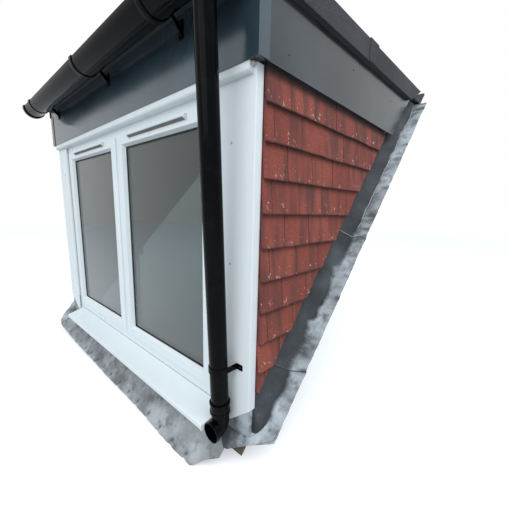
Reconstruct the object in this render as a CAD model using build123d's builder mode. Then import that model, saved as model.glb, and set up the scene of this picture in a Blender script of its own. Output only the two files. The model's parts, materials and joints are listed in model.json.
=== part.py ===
from build123d import *
from math import atan, cos, degrees, radians, sin, tan
import os

# A flat-roofed dormer window, in millimetres.
# X runs along the front, Y into the building, Z up.
# The origin lies on the raking underside of the front sole plate, on the centreline.

# Roof that it stands on
pitch = 47.0  # slope of the main roof, in degrees
lead_rise = 105.0  # height of the lead above the rafters, measured upright

# Overall form, heights measured from the rafter line under the front panels
half_width = 1020.0
panel_width = 170.0  # of the white panel on each side of the window
deck_height = 1660.0  # top of the deck over the front fascia
fascia_height = 261.0  # from there down to its lower edge
deck_fall = 1.4  # degrees, falling towards the gutter

# Timber
plate_depth = 100.0
stud_depth = 75.0
sole_height = 47.0
joist_width = 47.0
joist_pitch = 400.0
lintel_drop = 7.5  # below the fascia
deck_t = 18.0
deck_overhang = 47.0  # past the front fascia, into the gutter
rear_board_t = 18.0
rear_board_lap = 100.0  # how far it runs up the slope past the deck

# Boards and linings
sheathing_t = 12.0
batten_t = 22.0
batten_height = 38.0
plaster_t = 12.5

# White plastic front
panel_t = 10.0
panel_base = 150.0
corner_cut_right = (100.0, 83.0)  # across and up
corner_cut_left = (140.0, 100.0)
corner_return = 35.0
corner_t = 8.0
trim_height = 29.0
trim_out = 20.0
trim_end_gap = 12.0
trim_round = 12.0
rebate_gap = 0.5  # behind the panels, beside the lead

# Window
frame_head_gap = 5.0  # under the lintel
frame_setback = 15.0
frame_depth = 70.0
frame_face = 56.0  # width of the outer frame seen from outside
frame_lip = 18.0  # leg that the lights close against
frame_lip_depth = 22.0
mullion_face = 42.0
light_gap = 4.0
light_proud = 12.0
light_face = 47.0
light_lap = 8.0
light_bevel = 5.0
bead_width = 12.0
pane_recess = 22.0
pane_t = 4.0
spacer_width = 16.0
spacer_height = 14.0
pane_cover = 11.0  # of the pane's edge, held in the light

# Sill and window board
sill_top = 175.0
sill_seat = 9.0  # depth of the rebate that the frame stands in
sill_slope = 7.0  # degrees
sill_nose_out = 110.0
sill_nose_height = 22.0
sill_drip_width = 12.0
sill_lip = 4.0
sill_round = 3.0
sill_body = 25.0
sill_short_left = 50.0  # of the frame's left edge
sill_past_right = 26.5  # of the frame's right edge
sill_end_gap = 2.0
sill_skew = 50.0  # how far the left end is cut back at the nose
board_t = 20.0
board_depth = 75.0
board_round = 6.5

# Vent hoods and handles
hood_inset = 136.5  # from each edge of the light
hood_height = 24.0
hood_fall = 8.0
hood_out = 16.0
hood_wall = 3.0
hood_hollow = 12.0
handle_plate = (26.0, 150.0, 8.0)
handle_length = 120.0
handle_width = 20.0
handle_out = 38.0
handle_height = 640.0
handle_bevel = 3.0

# Fascia, soffit and verge
fascia_out = 22.5  # in front of the panels
fascia_side_out = 27.0  # beyond the white corners
fascia_t = 9.0
fascia_cut = 141.0  # of the rear end, square to the rafters
angle_leg = 45.0
angle_t = 3.0
kerb_rise = 20.0
kerb_width = 62.0
verge_t = 18.0
verge_drop = 60.0
felt_t = 5.0
verge_end_angle = 28.6
verge_end = 180.0  # of its lower corner, square to the rafters

# Hung tiles
tile_face = 20.0  # of the tile tails beyond the white corner
tile_t = 12.0
tile_length = 265.0
tile_gauge = 114.5
tile_drop = 103.6  # of the top course's tail below the fascia
tile_cut = 178.7  # of the raking cut, square to the rafters
tile_gap = 1.0

# Lead
lead_t = 3.0
fold_out = 30.0  # beyond the white corner
flange_width = 70.0
upstand_top = 205.0  # square to the rafters
apron_out = 120.0  # past the panels
apron_ends = (35.0, -85.0)  # past the white corners, left and right
apron_corner = (115.0, 63.0)  # cut from the lower right corner
apron_flare = 11.0  # how much further it reaches at the right
apron_left_rise = 23.0
side_lead_drop = 69.3  # of its upper end below the deck, measured on the rafters
side_lead_toe = (38.0, 35.0)  # ahead of the panels at the inside, behind them at the outside
lead_joint = 2.0
lead_wrap = 110.0  # how far it runs up behind the panels, from their base

# Gutter and downpipe
gutter_radius = 60.0
gutter_t = 3.0
gutter_out = 130.0  # of its centreline in front of the panels
gutter_drop = 25.0  # of its rim below the deck
gutter_past = 15.0  # beyond each white corner
gutter_bead = 4.0
fitting_t = 3.0
fitting_gap = 0.3
stop_end_length = 36.0
bracket_ends = (185.0, 365.0)  # of the outer brackets from the gutter's ends
bracket_middle = 20.0
bracket_width = 28.0
bracket_plate_t = 4.0
bracket_plate_height = 60.0
bracket_plate_drop = 45.0  # of its middle below the gutter's rim
bracket_web_height = 15.0
outlet_inset = 98.0  # from the right end of the gutter
outlet_length = 120.0
outlet_drop = 70.0
outlet_collar = 25.0
pipe_radius = 34.0
pipe_t = 2.5
pipe_lean = 19.2  # of its foot towards the window
pipe_foot_out = 51.2  # of its centre in front of the panels
pipe_foot_height = 257.0
socket_t = 3.5
socket_length = 45.0
socket_stop = 6.0  # what is left of the socket below the end of the pipe
socket_ring = 1.8
socket_ring_height = 8.0
shoe_drop = 33.0  # straight, between the socket and the bend
shoe_bend = 36.0
shoe_turn = 90.0
shoe_spout = 14.0  # straight, under the collar
shoe_collar_t = 5.0
shoe_mouth_t = 2.5
shoe_mouth_end = 3.0  # what is left of the collar behind the mouth
clip_height = 395.0
clip_band = 22.0
clip_t = 3.0
clip_foot = 28.0

slope = tan(radians(pitch))
frame_half = half_width - panel_width
fascia_base = deck_height - fascia_height
lintel_base = fascia_base - lintel_drop
face_y = -(plate_depth / 2 + panel_t)
base_z = face_y * slope
plate_front = -plate_depth / 2
plate_back = plate_depth / 2
tile_lean = tile_t / tile_gauge
sheath_x = half_width + tile_face - tile_t - tile_length * tile_lean - batten_t
stud_x = sheath_x - sheathing_t
lining_x = stud_x - stud_depth
post_x = frame_half + light_gap
frame_y = face_y + frame_setback
frame_back = frame_y + frame_depth
frame_base_z = base_z + sill_top - sill_seat
frame_top_z = base_z + lintel_base - frame_head_gap
fascia_z = base_z + fascia_base
front_edge = face_y - fascia_out
side_edge = half_width + fascia_side_out
ceiling_z = fascia_z + plaster_t
seat = Plane(origin=(0, 0, 0), x_dir=(1, 0, 0), z_dir=(0, -sin(radians(pitch)), cos(radians(pitch))))
lead_n = lead_rise * cos(radians(pitch))
deck_plane = Plane(
    origin=(0, front_edge, base_z + deck_height),
    x_dir=(1, 0, 0),
    z_dir=(0, -sin(radians(deck_fall)), cos(radians(deck_fall))),
)
far = 2600.0  # longer than anything that is cut

os.makedirs("parts", exist_ok=True)


def slope_y(height, z):
    """Where a line parallel to the rafters, this far above them, is at z."""
    return (z - height / cos(radians(pitch))) / slope


def deck_z(y):
    return base_z + deck_height + (y - front_edge) * tan(radians(deck_fall))


def on_deck_and_slope(above_deck, above_rafters):
    fall = tan(radians(deck_fall))
    start = deck_z(0) + above_deck / cos(radians(deck_fall))
    y = (start - above_rafters / cos(radians(pitch))) / (slope - fall)
    return y, start + y * fall


def save(part, name):
    part.label = name
    export_step(part, f"parts/{name}.step")


def save_pair(part, name):
    save(part, name + "_right")
    save(mirror(part, about=Plane.YZ), name + "_left")


def on_both_sides():
    """Adds the mirror image on the other side of the building."""
    mirror(about=Plane.YZ)


def rectangle(x0, y0, x1, y1):
    with Locations(((x0 + x1) / 2, (y0 + y1) / 2)):
        Rectangle(abs(x1 - x0), abs(y1 - y0))


# Front sole plate, bevelled to the rafters
sole_top = frame_base_z - sill_body
with BuildPart() as front_sole_plate:
    with BuildSketch(Plane.YZ.offset(-sheath_x)):
        with BuildLine():
            Polyline(
                (plate_front, plate_front * slope),
                (plate_back, plate_back * slope),
                (plate_back, sole_top),
                (plate_front, sole_top),
                close=True,
            )
        make_face()
    extrude(amount=2 * sheath_x)
save(front_sole_plate.part, "front_sole_plate")

# Corner posts, stepped out behind the white return
with BuildPart() as front_posts:
    with BuildSketch(Plane.XY.offset(sole_top)):
        rectangle(post_x, plate_front, sheath_x, plate_back)
        rectangle(sheath_x, plate_front, half_width - corner_t, face_y + corner_return)
    extrude(amount=base_z + lintel_base - sole_top)
    on_both_sides()
save(front_posts.part, "front_posts")

# Lintel over the window, planed to the fall of the deck
cover_cut = deck_plane.offset(-deck_t)
with BuildPart() as lintel:
    with BuildSketch(Plane.XY.offset(base_z + lintel_base)):
        rectangle(-sheath_x, plate_front, sheath_x, plate_back)
    extrude(amount=far)
    split(bisect_by=cover_cut, keep=Keep.BOTTOM)
save(lintel.part, "lintel")

# Cheek walls: raking sole, framed core, sheathing and plaster
with BuildPart() as cheek_soles:
    with BuildSketch(Plane.XY):
        rectangle(lining_x, plate_back, stud_x, far)
    extrude(amount=far)
    split(bisect_by=seat, keep=Keep.TOP)
    split(bisect_by=seat.offset(sole_height), keep=Keep.BOTTOM)
    split(bisect_by=Plane.XY.offset(ceiling_z), keep=Keep.BOTTOM)
    on_both_sides()
save(cheek_soles.part, "cheek_soles")

with BuildPart() as cheek_walls:
    with BuildSketch(Plane.XY):
        rectangle(lining_x, plate_back, stud_x, far)
    extrude(amount=ceiling_z)
    split(bisect_by=seat.offset(sole_height), keep=Keep.TOP)
    on_both_sides()
save(cheek_walls.part, "cheek_walls")

with BuildPart() as cheek_sheathings:
    with BuildSketch(Plane.XY):
        rectangle(stud_x, plate_back, sheath_x, far)
    extrude(amount=ceiling_z)
    split(bisect_by=seat, keep=Keep.TOP)
    on_both_sides()
save(cheek_sheathings.part, "cheek_sheathings")

with BuildPart() as cheek_linings:
    with BuildSketch(Plane.XY):
        rectangle(lining_x - plaster_t, plate_back, lining_x, far)
        rectangle(post_x, plate_back, lining_x, plate_back + plaster_t)
    extrude(amount=fascia_z)
    split(bisect_by=seat, keep=Keep.TOP)
    on_both_sides()
save(cheek_linings.part, "cheek_linings")

# Ceiling, cut back along the rafters
with BuildPart() as ceiling_lining:
    with BuildSketch(Plane.XY.offset(fascia_z)):
        rectangle(-lining_x, plate_back, lining_x, far)
    extrude(amount=plaster_t)
    split(bisect_by=seat, keep=Keep.TOP)
save(ceiling_lining.part, "ceiling_lining")

# Board on the rafters at the back, which closes the roof and carries the felt up the slope
rear_top_z = base_z + deck_height + rear_board_lap
with BuildPart() as rear_board:
    with BuildSketch(Plane.YZ.offset(-side_edge)):
        with BuildLine():
            Polyline(
                (slope_y(0, ceiling_z), ceiling_z),
                (slope_y(0, rear_top_z), rear_top_z),
                (slope_y(rear_board_t, rear_top_z), rear_top_z),
                (slope_y(rear_board_t, ceiling_z), ceiling_z),
                close=True,
            )
        make_face()
    extrude(amount=2 * side_edge)
save(rear_board.part, "rear_board")

# Joists with a tapered top that gives the fall
joists_each_side = int((sheath_x - 2 * joist_width) / joist_pitch)
with BuildPart() as roof_joists:
    with BuildSketch(Plane.XY.offset(ceiling_z)):
        with GridLocations(joist_pitch, 0, 2 * joists_each_side + 1, 1):
            rectangle(-joist_width / 2, plate_back, joist_width / 2, far)
        rectangle(sheath_x - joist_width, plate_back, sheath_x, far)
        rectangle(-sheath_x, plate_back, joist_width - sheath_x, far)
    extrude(amount=far)
    split(bisect_by=cover_cut, keep=Keep.BOTTOM)
    split(bisect_by=seat.offset(rear_board_t), keep=Keep.TOP)
save(roof_joists.part, "roof_joists")

# Rails that carry the deck edges and the fascias
rail_z = fascia_z + fascia_t
with BuildPart() as side_rails:
    with BuildSketch(Plane.XY.offset(rail_z)):
        rectangle(sheath_x, plate_front, side_edge - fascia_t, far)
    extrude(amount=far)
    split(bisect_by=cover_cut, keep=Keep.BOTTOM)
    split(bisect_by=seat.offset(upstand_top + lead_t), keep=Keep.TOP)
    on_both_sides()
save(side_rails.part, "side_rails")

with BuildPart() as front_rail:
    with BuildSketch(Plane.XY.offset(fascia_z)):
        rectangle(fascia_t - side_edge, front_edge + fascia_t, side_edge - fascia_t, plate_front)
    extrude(amount=far)
    split(bisect_by=cover_cut, keep=Keep.BOTTOM)
save(front_rail.part, "front_rail")

# Deck
with BuildPart() as roof_deck:
    with BuildSketch(deck_plane.offset(-deck_t)):
        rectangle(-side_edge, -deck_overhang, side_edge, far)
    extrude(amount=deck_t)
    split(bisect_by=seat.offset(rear_board_t), keep=Keep.TOP)
save(roof_deck.part, "roof_deck")

# Kerbs with a drip batten down the outside of the fascia
verge_x = side_edge + verge_t
felt_x = verge_x - kerb_width - kerb_rise
verge_end_z = base_z + deck_height - verge_drop
verge_cut = Plane(
    origin=(0, slope_y(verge_end, verge_end_z), verge_end_z),
    x_dir=(1, 0, 0),
    z_dir=(0, -sin(radians(verge_end_angle)), cos(radians(verge_end_angle))),
)
deck_section = Plane(origin=deck_plane.origin, x_dir=(1, 0, 0), z_dir=-deck_plane.y_dir)
with BuildPart() as verge_kerbs:
    with BuildSketch(deck_section):
        with BuildLine():
            Polyline(
                (verge_x, -verge_drop),
                (verge_x, kerb_rise),
                (verge_x - kerb_width, kerb_rise),
                (felt_x, 0),
                (side_edge, 0),
                (side_edge, -verge_drop),
                close=True,
            )
        make_face()
    extrude(amount=-far)
    with BuildSketch(deck_section):
        with BuildLine():
            Polyline(
                (side_edge, 0),
                (side_edge, kerb_rise),
                (verge_x - kerb_width, kerb_rise),
                (felt_x, 0),
                close=True,
            )
        make_face()
    extrude(amount=deck_overhang)
    split(bisect_by=seat.offset(rear_board_t), keep=Keep.TOP)
    split(bisect_by=verge_cut, keep=Keep.TOP)
    on_both_sides()
save(verge_kerbs.part, "verge_kerbs")

# Felt strip over each kerb, folded down over its front end
felt_side = side_edge + felt_t
with BuildPart() as felt_verges:
    with BuildSketch(deck_section):
        with BuildLine():
            Polyline(
                (verge_x, -verge_drop),
                (verge_x + felt_t, -verge_drop),
                (verge_x + felt_t, kerb_rise + felt_t),
                (verge_x - kerb_width, kerb_rise + felt_t),
                (felt_x, felt_t),
                (felt_x, 0),
                (verge_x - kerb_width, kerb_rise),
                (verge_x, kerb_rise),
                close=True,
            )
        make_face()
    extrude(amount=-far)
    with BuildSketch(deck_section):
        with BuildLine():
            Polyline(
                (side_edge, -deck_t),
                (felt_side, -deck_t),
                (felt_side, kerb_rise + felt_t),
                (verge_x - kerb_width, kerb_rise + felt_t),
                (felt_x, felt_t),
                (felt_x, 0),
                (verge_x - kerb_width, kerb_rise),
                (side_edge, kerb_rise),
                close=True,
            )
        make_face()
    extrude(amount=deck_overhang)
    with BuildSketch(deck_section):
        rectangle(side_edge, -verge_drop, verge_x + felt_t, kerb_rise + felt_t)
    extrude(amount=felt_t)
    with BuildSketch(deck_section.offset(deck_overhang)):
        with BuildLine():
            Polyline(
                (felt_x, -deck_t),
                (felt_side, -deck_t),
                (felt_side, kerb_rise + felt_t),
                (verge_x - kerb_width, kerb_rise + felt_t),
                (felt_x, felt_t),
                close=True,
            )
        make_face()
    extrude(amount=felt_t)
    split(bisect_by=seat.offset(rear_board_t), keep=Keep.TOP)
    split(bisect_by=verge_cut, keep=Keep.TOP)
    on_both_sides()
save(felt_verges.part, "felt_verges")

# Felt on the deck, turned down over its front edge and up the slope behind
felt_front_y = front_edge - deck_overhang
with BuildPart() as felt_roof:
    with BuildSketch(Plane.YZ.offset(-felt_x)):
        with BuildLine():
            Polyline(
                (felt_front_y - felt_t, deck_z(felt_front_y) - deck_t),
                (felt_front_y - felt_t, deck_z(felt_front_y) + felt_t),
                on_deck_and_slope(felt_t, rear_board_t + felt_t),
                (slope_y(rear_board_t + felt_t, rear_top_z), rear_top_z),
                (slope_y(rear_board_t, rear_top_z), rear_top_z),
                on_deck_and_slope(0, rear_board_t),
                (felt_front_y, deck_z(felt_front_y)),
                (felt_front_y, deck_z(felt_front_y) - deck_t),
                close=True,
            )
        make_face()
    extrude(amount=2 * felt_x)
save(felt_roof.part, "felt_roof")

# Front fascia board and side fascia boards
with BuildPart() as fascia_front:
    with BuildSketch(Plane.XY.offset(fascia_z)):
        rectangle(-side_edge, front_edge, side_edge, front_edge + fascia_t)
    extrude(amount=far)
    split(bisect_by=cover_cut, keep=Keep.BOTTOM)
save(fascia_front.part, "fascia_front")

with BuildPart() as fascia_sides:
    with BuildSketch(Plane.XY.offset(fascia_z)):
        rectangle(side_edge - fascia_t, front_edge + fascia_t, side_edge, far)
    extrude(amount=far)
    split(bisect_by=cover_cut, keep=Keep.BOTTOM)
    split(bisect_by=seat.offset(fascia_cut), keep=Keep.TOP)
    on_both_sides()
save(fascia_sides.part, "fascia_sides")

# Angle that covers each corner of the fascia
with BuildPart() as fascia_corners:
    with BuildSketch(Plane.XY.offset(fascia_z)):
        rectangle(side_edge, front_edge - angle_t, side_edge + angle_t, front_edge + angle_leg)
        rectangle(side_edge - angle_leg, front_edge - angle_t, side_edge, front_edge)
    extrude(amount=far)
    split(bisect_by=deck_plane.offset(-verge_drop), keep=Keep.BOTTOM)
    on_both_sides()
save(fascia_corners.part, "fascia_corners")

# Soffit strip above each cheek
with BuildPart() as soffits:
    with BuildSketch(Plane.XY.offset(fascia_z)):
        rectangle(sheath_x, face_y + corner_return, side_edge - fascia_t, far)
    extrude(amount=fascia_t)
    split(bisect_by=seat.offset(upstand_top + lead_t), keep=Keep.TOP)
    on_both_sides()
save(soffits.part, "soffits")

# White panels beside the window, cut to the slope at the foot and rebated over the lead behind
panel_z = base_z + panel_base
rebate_t = lead_t + rebate_gap
wrap_top = panel_z + lead_wrap
corner_x = half_width - corner_t
sill_end_right = frame_half + sill_past_right
sill_end_left = frame_half - sill_short_left


def side_panel(side, corner_cut, sill_end):
    with BuildPart() as panel:
        with BuildSketch(Plane.XZ.offset(-face_y)):
            with BuildLine():
                Polyline(
                    (side * frame_half, panel_z),
                    (side * (half_width - corner_cut[0]), panel_z),
                    (side * half_width, panel_z + corner_cut[1]),
                    (side * half_width, fascia_z),
                    (side * frame_half, fascia_z),
                    close=True,
                )
            make_face()
            with Locations((0, panel_z)):
                Rectangle(2 * sill_end, 2 * (sill_top - panel_base), mode=Mode.SUBTRACT)
        extrude(amount=-panel_t)
        with BuildSketch(Plane.XZ.offset(-plate_front + rebate_t)):
            rectangle(
                side * max(frame_half, sill_end),
                panel_z,
                side * (corner_x + rebate_t),
                wrap_top + rebate_gap,
            )
        extrude(amount=-rebate_t, mode=Mode.SUBTRACT)
    return panel.part


save(side_panel(1, corner_cut_right, sill_end_right), "side_panel_right")
save(side_panel(-1, corner_cut_left, sill_end_left), "side_panel_left")


# White return on each cheek, from the panel back to the tiles
def corner_cover(side, corner_cut):
    with BuildPart() as cover:
        with BuildSketch(Plane.XY.offset(panel_z + corner_cut[1])):
            rectangle(side * corner_x, plate_front, side * half_width, face_y + corner_return)
        extrude(amount=fascia_z - panel_z - corner_cut[1])
        rear_edges = cover.edges().filter_by(Axis.Z).group_by(Axis.Y)[-1]
        fillet(rear_edges.sort_by(Axis.X)[0 if side < 0 else -1], radius=corner_t / 2)
        with BuildSketch(Plane.XY.offset(panel_z)):
            rectangle(side * corner_x, plate_front, side * (corner_x + rebate_t), face_y + corner_return)
        extrude(amount=lead_wrap + rebate_gap, mode=Mode.SUBTRACT)
    return cover.part


with BuildPart() as corner_covers:
    add(corner_cover(1, corner_cut_right))
    add(corner_cover(-1, corner_cut_left))
save(corner_covers.part, "corner_covers")

# Quadrant trim under the fascia
trim_half = half_width - trim_end_gap
with BuildPart() as head_trim:
    with BuildSketch(Plane.XY.offset(fascia_z - trim_height)):
        rectangle(-trim_half, face_y - trim_out, trim_half, face_y)
    extrude(amount=trim_height)
    with BuildSketch(Plane.XY.offset(fascia_z - trim_height)):
        rectangle(-frame_half, face_y, frame_half, frame_y)
    extrude(amount=trim_height + lintel_base - fascia_base)
    nose = head_trim.edges().filter_by(Axis.X).group_by(Axis.Z)[0].sort_by(Axis.Y)[0]
    fillet(nose, radius=trim_round)
save(head_trim.part, "head_trim")

# Window frame: outer frame and mullion, with a leg behind that the lights close against
light_half = mullion_face / 2
opening_z0 = frame_base_z + frame_face + light_lap
opening_z1 = frame_top_z - frame_face - light_lap
opening_x0 = light_half + light_lap
opening_x1 = frame_half - frame_face - light_lap
with BuildPart() as window_frame:
    with BuildSketch(Plane.XZ.offset(-frame_y)):
        rectangle(-frame_half, frame_base_z, frame_half, frame_top_z)
    extrude(amount=-frame_depth)
    for side in (-1, 1):
        with BuildSketch(Plane.XZ.offset(-frame_y)):
            rectangle(side * opening_x0, opening_z0, side * opening_x1, opening_z1)
        extrude(amount=frame_lip_depth - frame_depth, mode=Mode.SUBTRACT)
        with BuildSketch(Plane.XZ.offset(-frame_y)):
            rectangle(
                side * (opening_x0 + frame_lip),
                opening_z0 + frame_lip,
                side * (opening_x1 - frame_lip),
                opening_z1 - frame_lip,
            )
        extrude(amount=-frame_depth, mode=Mode.SUBTRACT)
save(window_frame.part, "window_frame")

# Opening lights, closed: a flange over the frame, the body in the rebate, sloped beads round the glass
light_x = (light_half, frame_half - frame_face)
light_z = (frame_base_z + frame_face, frame_top_z - frame_face)
light_y = frame_y - light_proud
light_back = frame_back - frame_lip_depth
pane_y = light_y + pane_recess
unit_t = 2 * pane_t + spacer_width
bead_slope = degrees(atan(bead_width / pane_recess))


def light_rectangle(inset):
    rectangle(light_x[0] + inset, light_z[0] + inset, light_x[1] - inset, light_z[1] - inset)


with BuildPart() as light:
    with BuildSketch(Plane.XZ.offset(-light_y)):
        light_rectangle(0)
    extrude(amount=-light_proud)
    chamfer(light.edges().group_by(Axis.Y)[0], length=light_bevel)
    with BuildSketch(Plane.XZ.offset(-frame_y)):
        light_rectangle(light_lap + light_gap)
    extrude(amount=frame_y - light_back)
    with BuildSketch(Plane.XZ.offset(-light_y)):
        light_rectangle(light_face)
    extrude(amount=-pane_recess, taper=bead_slope, mode=Mode.SUBTRACT)
    with BuildSketch(Plane.XZ.offset(-light_y)):
        light_rectangle(light_face + bead_width)
    extrude(amount=light_y - light_back, mode=Mode.SUBTRACT)
    with BuildSketch(Plane.XZ.offset(-pane_y)):
        light_rectangle(light_face + bead_width - pane_cover)
    extrude(amount=-unit_t, mode=Mode.SUBTRACT)
    chamfer(light.faces().sort_by(Axis.Y)[-1].inner_wires()[0].edges(), length=light_bevel)
save_pair(light.part, "opening_light")

# Sealed units: two panes with a spacer between them
with BuildPart() as panes:
    for plane_y in (pane_y, pane_y + pane_t + spacer_width):
        with BuildSketch(Plane.XZ.offset(-plane_y)):
            light_rectangle(light_face + bead_width - pane_cover)
        extrude(amount=-pane_t)
    on_both_sides()
save(panes.part, "panes")

with BuildPart() as glazing_spacers:
    with BuildSketch(Plane.XZ.offset(-pane_y - pane_t)):
        light_rectangle(light_face + bead_width - pane_cover)
        with Locations(((light_x[0] + light_x[1]) / 2, (light_z[0] + light_z[1]) / 2)):
            Rectangle(
                light_x[1] - light_x[0] - 2 * (light_face + bead_width - pane_cover + spacer_height),
                light_z[1] - light_z[0] - 2 * (light_face + bead_width - pane_cover + spacer_height),
                mode=Mode.SUBTRACT,
            )
    extrude(amount=-spacer_width)
    on_both_sides()
save(glazing_spacers.part, "glazing_spacers")

# Vent hoods on the head of each light
hood_x = (light_x[0] + light_x[1]) / 2
hood_length = light_x[1] - light_x[0] - 2 * hood_inset
hood_z = light_z[1] - light_bevel
with BuildPart() as vent_hoods:
    with BuildSketch(Plane.YZ.offset(hood_x - hood_length / 2)):
        with BuildLine():
            Polyline(
                (light_y, hood_z),
                (light_y - hood_out, hood_z - hood_fall),
                (light_y - hood_out, hood_z - hood_height),
                (light_y, hood_z - hood_height),
                close=True,
            )
        make_face()
    extrude(amount=hood_length)
    with BuildSketch(Plane.XY.offset(hood_z - hood_height)):
        with Locations((hood_x, light_y - hood_out / 2)):
            Rectangle(hood_length - 2 * hood_wall, hood_out - 2 * hood_wall)
    extrude(amount=hood_hollow, mode=Mode.SUBTRACT)
    on_both_sides()
save(vent_hoods.part, "vent_hoods")

# Inner handle on the meeting stile of each light
handle_x = (opening_x0 + frame_lip + light_half + light_face + bead_width) / 2
handle_z = frame_base_z + handle_height
with BuildPart() as handles:
    with BuildSketch(Plane.XZ.offset(-light_back)):
        with Locations((handle_x, handle_z)):
            SlotOverall(handle_plate[1], handle_plate[0], rotation=90)
    extrude(amount=-handle_plate[2])
    with BuildSketch(Plane.XZ.offset(-light_back - handle_plate[2])):
        with Locations((handle_x, handle_z)):
            Circle(handle_width / 2)
    extrude(amount=handle_plate[2] - handle_out)
    with BuildSketch(Plane.XZ.offset(-light_back - handle_out)):
        with Locations((handle_x, handle_z - handle_length / 2 + handle_width / 2)):
            SlotOverall(handle_length, handle_width, rotation=90)
    extrude(amount=handle_plate[0] / 2)
    chamfer(handles.faces().sort_by(Axis.Y)[-1].edges(), length=handle_bevel)
    on_both_sides()
save(handles.part, "handles")

# Sill, which the frame stands in
sill_z = base_z + sill_top
sill_nose_y = face_y - sill_nose_out
sill_nose_z = sill_z - (frame_y - sill_lip - sill_nose_y) * tan(radians(sill_slope))
with BuildPart() as sill:
    with BuildSketch(Plane.YZ.offset(-frame_half)):
        with BuildLine():
            Polyline(
                (frame_back, frame_base_z),
                (frame_back, sole_top),
                (sill_nose_y + sill_drip_width, sole_top),
                (sill_nose_y + sill_drip_width, sill_nose_z - sill_nose_height),
                (sill_nose_y, sill_nose_z - sill_nose_height),
                (sill_nose_y, sill_nose_z),
                (frame_y - sill_lip, sill_z),
                (frame_y, sill_z),
                (frame_y, frame_base_z),
                close=True,
            )
        make_face()
    extrude(amount=frame_half + sill_end_right)
    with BuildSketch(Plane.XY.offset(sill_nose_z - sill_nose_height)):
        with BuildLine():
            Polyline(
                (-frame_half, plate_front),
                (-frame_half, sill_nose_y),
                (sill_skew - sill_end_left, sill_nose_y),
                (-sill_end_left, plate_front),
                close=True,
            )
        make_face()
        rectangle(post_x, plate_front, sill_end_right, frame_back)
    extrude(amount=sill_top, mode=Mode.SUBTRACT)
    fillet(sill.edges().filter_by(Axis.X).sort_by(Axis.Y)[:2], radius=sill_round)
save(sill.part, "sill")

# Window board inside
with BuildPart() as window_board:
    with BuildSketch(Plane.XY.offset(sole_top)):
        rectangle(-post_x, frame_back, post_x, frame_back + board_depth)
    extrude(amount=board_t)
    fillet(window_board.edges().filter_by(Axis.X).group_by(Axis.Y)[-1], radius=board_round)
save(window_board.part, "window_board")

# Hung tiles, one lapped course above another, cut to the slope at the foot
tile_x = half_width + tile_face
tile_first = fascia_base - tile_drop
courses = int((tile_first - panel_base) / tile_gauge) + 1
with BuildPart() as cheek_tiles:
    with BuildSketch(Plane.XZ.offset(-face_y - corner_return - tile_gap)):
        for course in range(courses):
            tail = base_z + tile_first - course * tile_gauge
            with BuildLine():
                Polyline(
                    (tile_x, tail),
                    (tile_x - tile_t, tail),
                    (tile_x - tile_t - tile_length * tile_lean, tail + tile_length),
                    (tile_x - tile_length * tile_lean, tail + tile_length),
                    close=True,
                )
            make_face()
    extrude(amount=-far)
    split(bisect_by=seat.offset(tile_cut), keep=Keep.TOP)
    split(bisect_by=Plane.XY.offset(fascia_z), keep=Keep.BOTTOM)
    on_both_sides()
save(cheek_tiles.part, "cheek_tiles")

with BuildPart() as tile_battens:
    for course in range(courses):
        head = base_z + tile_first - course * tile_gauge + tile_length
        if head < fascia_z:
            with BuildSketch(Plane.XZ.offset(-face_y - corner_return - tile_gap)):
                rectangle(sheath_x, head - batten_height, sheath_x + batten_t, head)
            extrude(amount=-far)
    split(bisect_by=seat.offset(upstand_top + lead_t), keep=Keep.TOP)
    on_both_sides()
save(tile_battens.part, "tile_battens")

# Lead apron: down the slope in front, turned up under the sill and behind the panels
lead_top = seat.offset(lead_n)
lead_under = seat.offset(lead_n - lead_t)
apron_top = plate_front * slope + lead_rise - lead_t
apron_left = half_width + apron_ends[0]
apron_right = half_width + apron_ends[1]
toe_x = apron_right + lead_joint
with BuildPart() as lead_apron:
    with BuildSketch(Plane.XY.offset(-far)):
        with BuildLine():
            Polyline(
                (-apron_left, face_y - apron_left_rise),
                (-apron_left, face_y - apron_out + apron_left_rise),
                (-apron_left + apron_corner[0], face_y - apron_out),
                (apron_right - apron_corner[0], face_y - apron_out - apron_flare),
                (apron_right, face_y - apron_out - apron_flare + apron_corner[1]),
                (apron_right, plate_front),
                (-corner_x, plate_front),
                (-corner_x, face_y - apron_left_rise),
                close=True,
            )
        make_face()
    extrude(amount=2 * far)
    split(bisect_by=lead_top, keep=Keep.BOTTOM)
    split(bisect_by=lead_under, keep=Keep.TOP)
    with BuildSketch(Plane.XY.offset(apron_top)):
        rectangle(-corner_x, plate_front - lead_t, apron_right, plate_front)
    extrude(amount=sole_top - apron_top)
    with BuildSketch(Plane.XY.offset(apron_top)):
        rectangle(-corner_x, plate_front - lead_t, -frame_half - sill_end_gap, plate_front)
        rectangle(sill_end_right + sill_end_gap, plate_front - lead_t, apron_right, plate_front)
    extrude(amount=wrap_top - apron_top)
save(lead_apron.part, "lead_apron")

# Lead beside each cheek: a flange on the slope, an upstand that leans in behind the tiles,
# and a wrap round the corner behind the white covers
fold_x = half_width + fold_out
flange_x = fold_x + flange_width
wrap_back = face_y + corner_return + lead_joint
lean_top = tile_cut - lead_t
side_lead_length = (base_z + deck_height - side_lead_drop) / sin(radians(pitch))
lead_section = Plane(
    origin=(0, 0, 0),
    x_dir=(1, 0, 0),
    z_dir=(0, -cos(radians(pitch)), -sin(radians(pitch))),
).offset(-side_lead_length)


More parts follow.
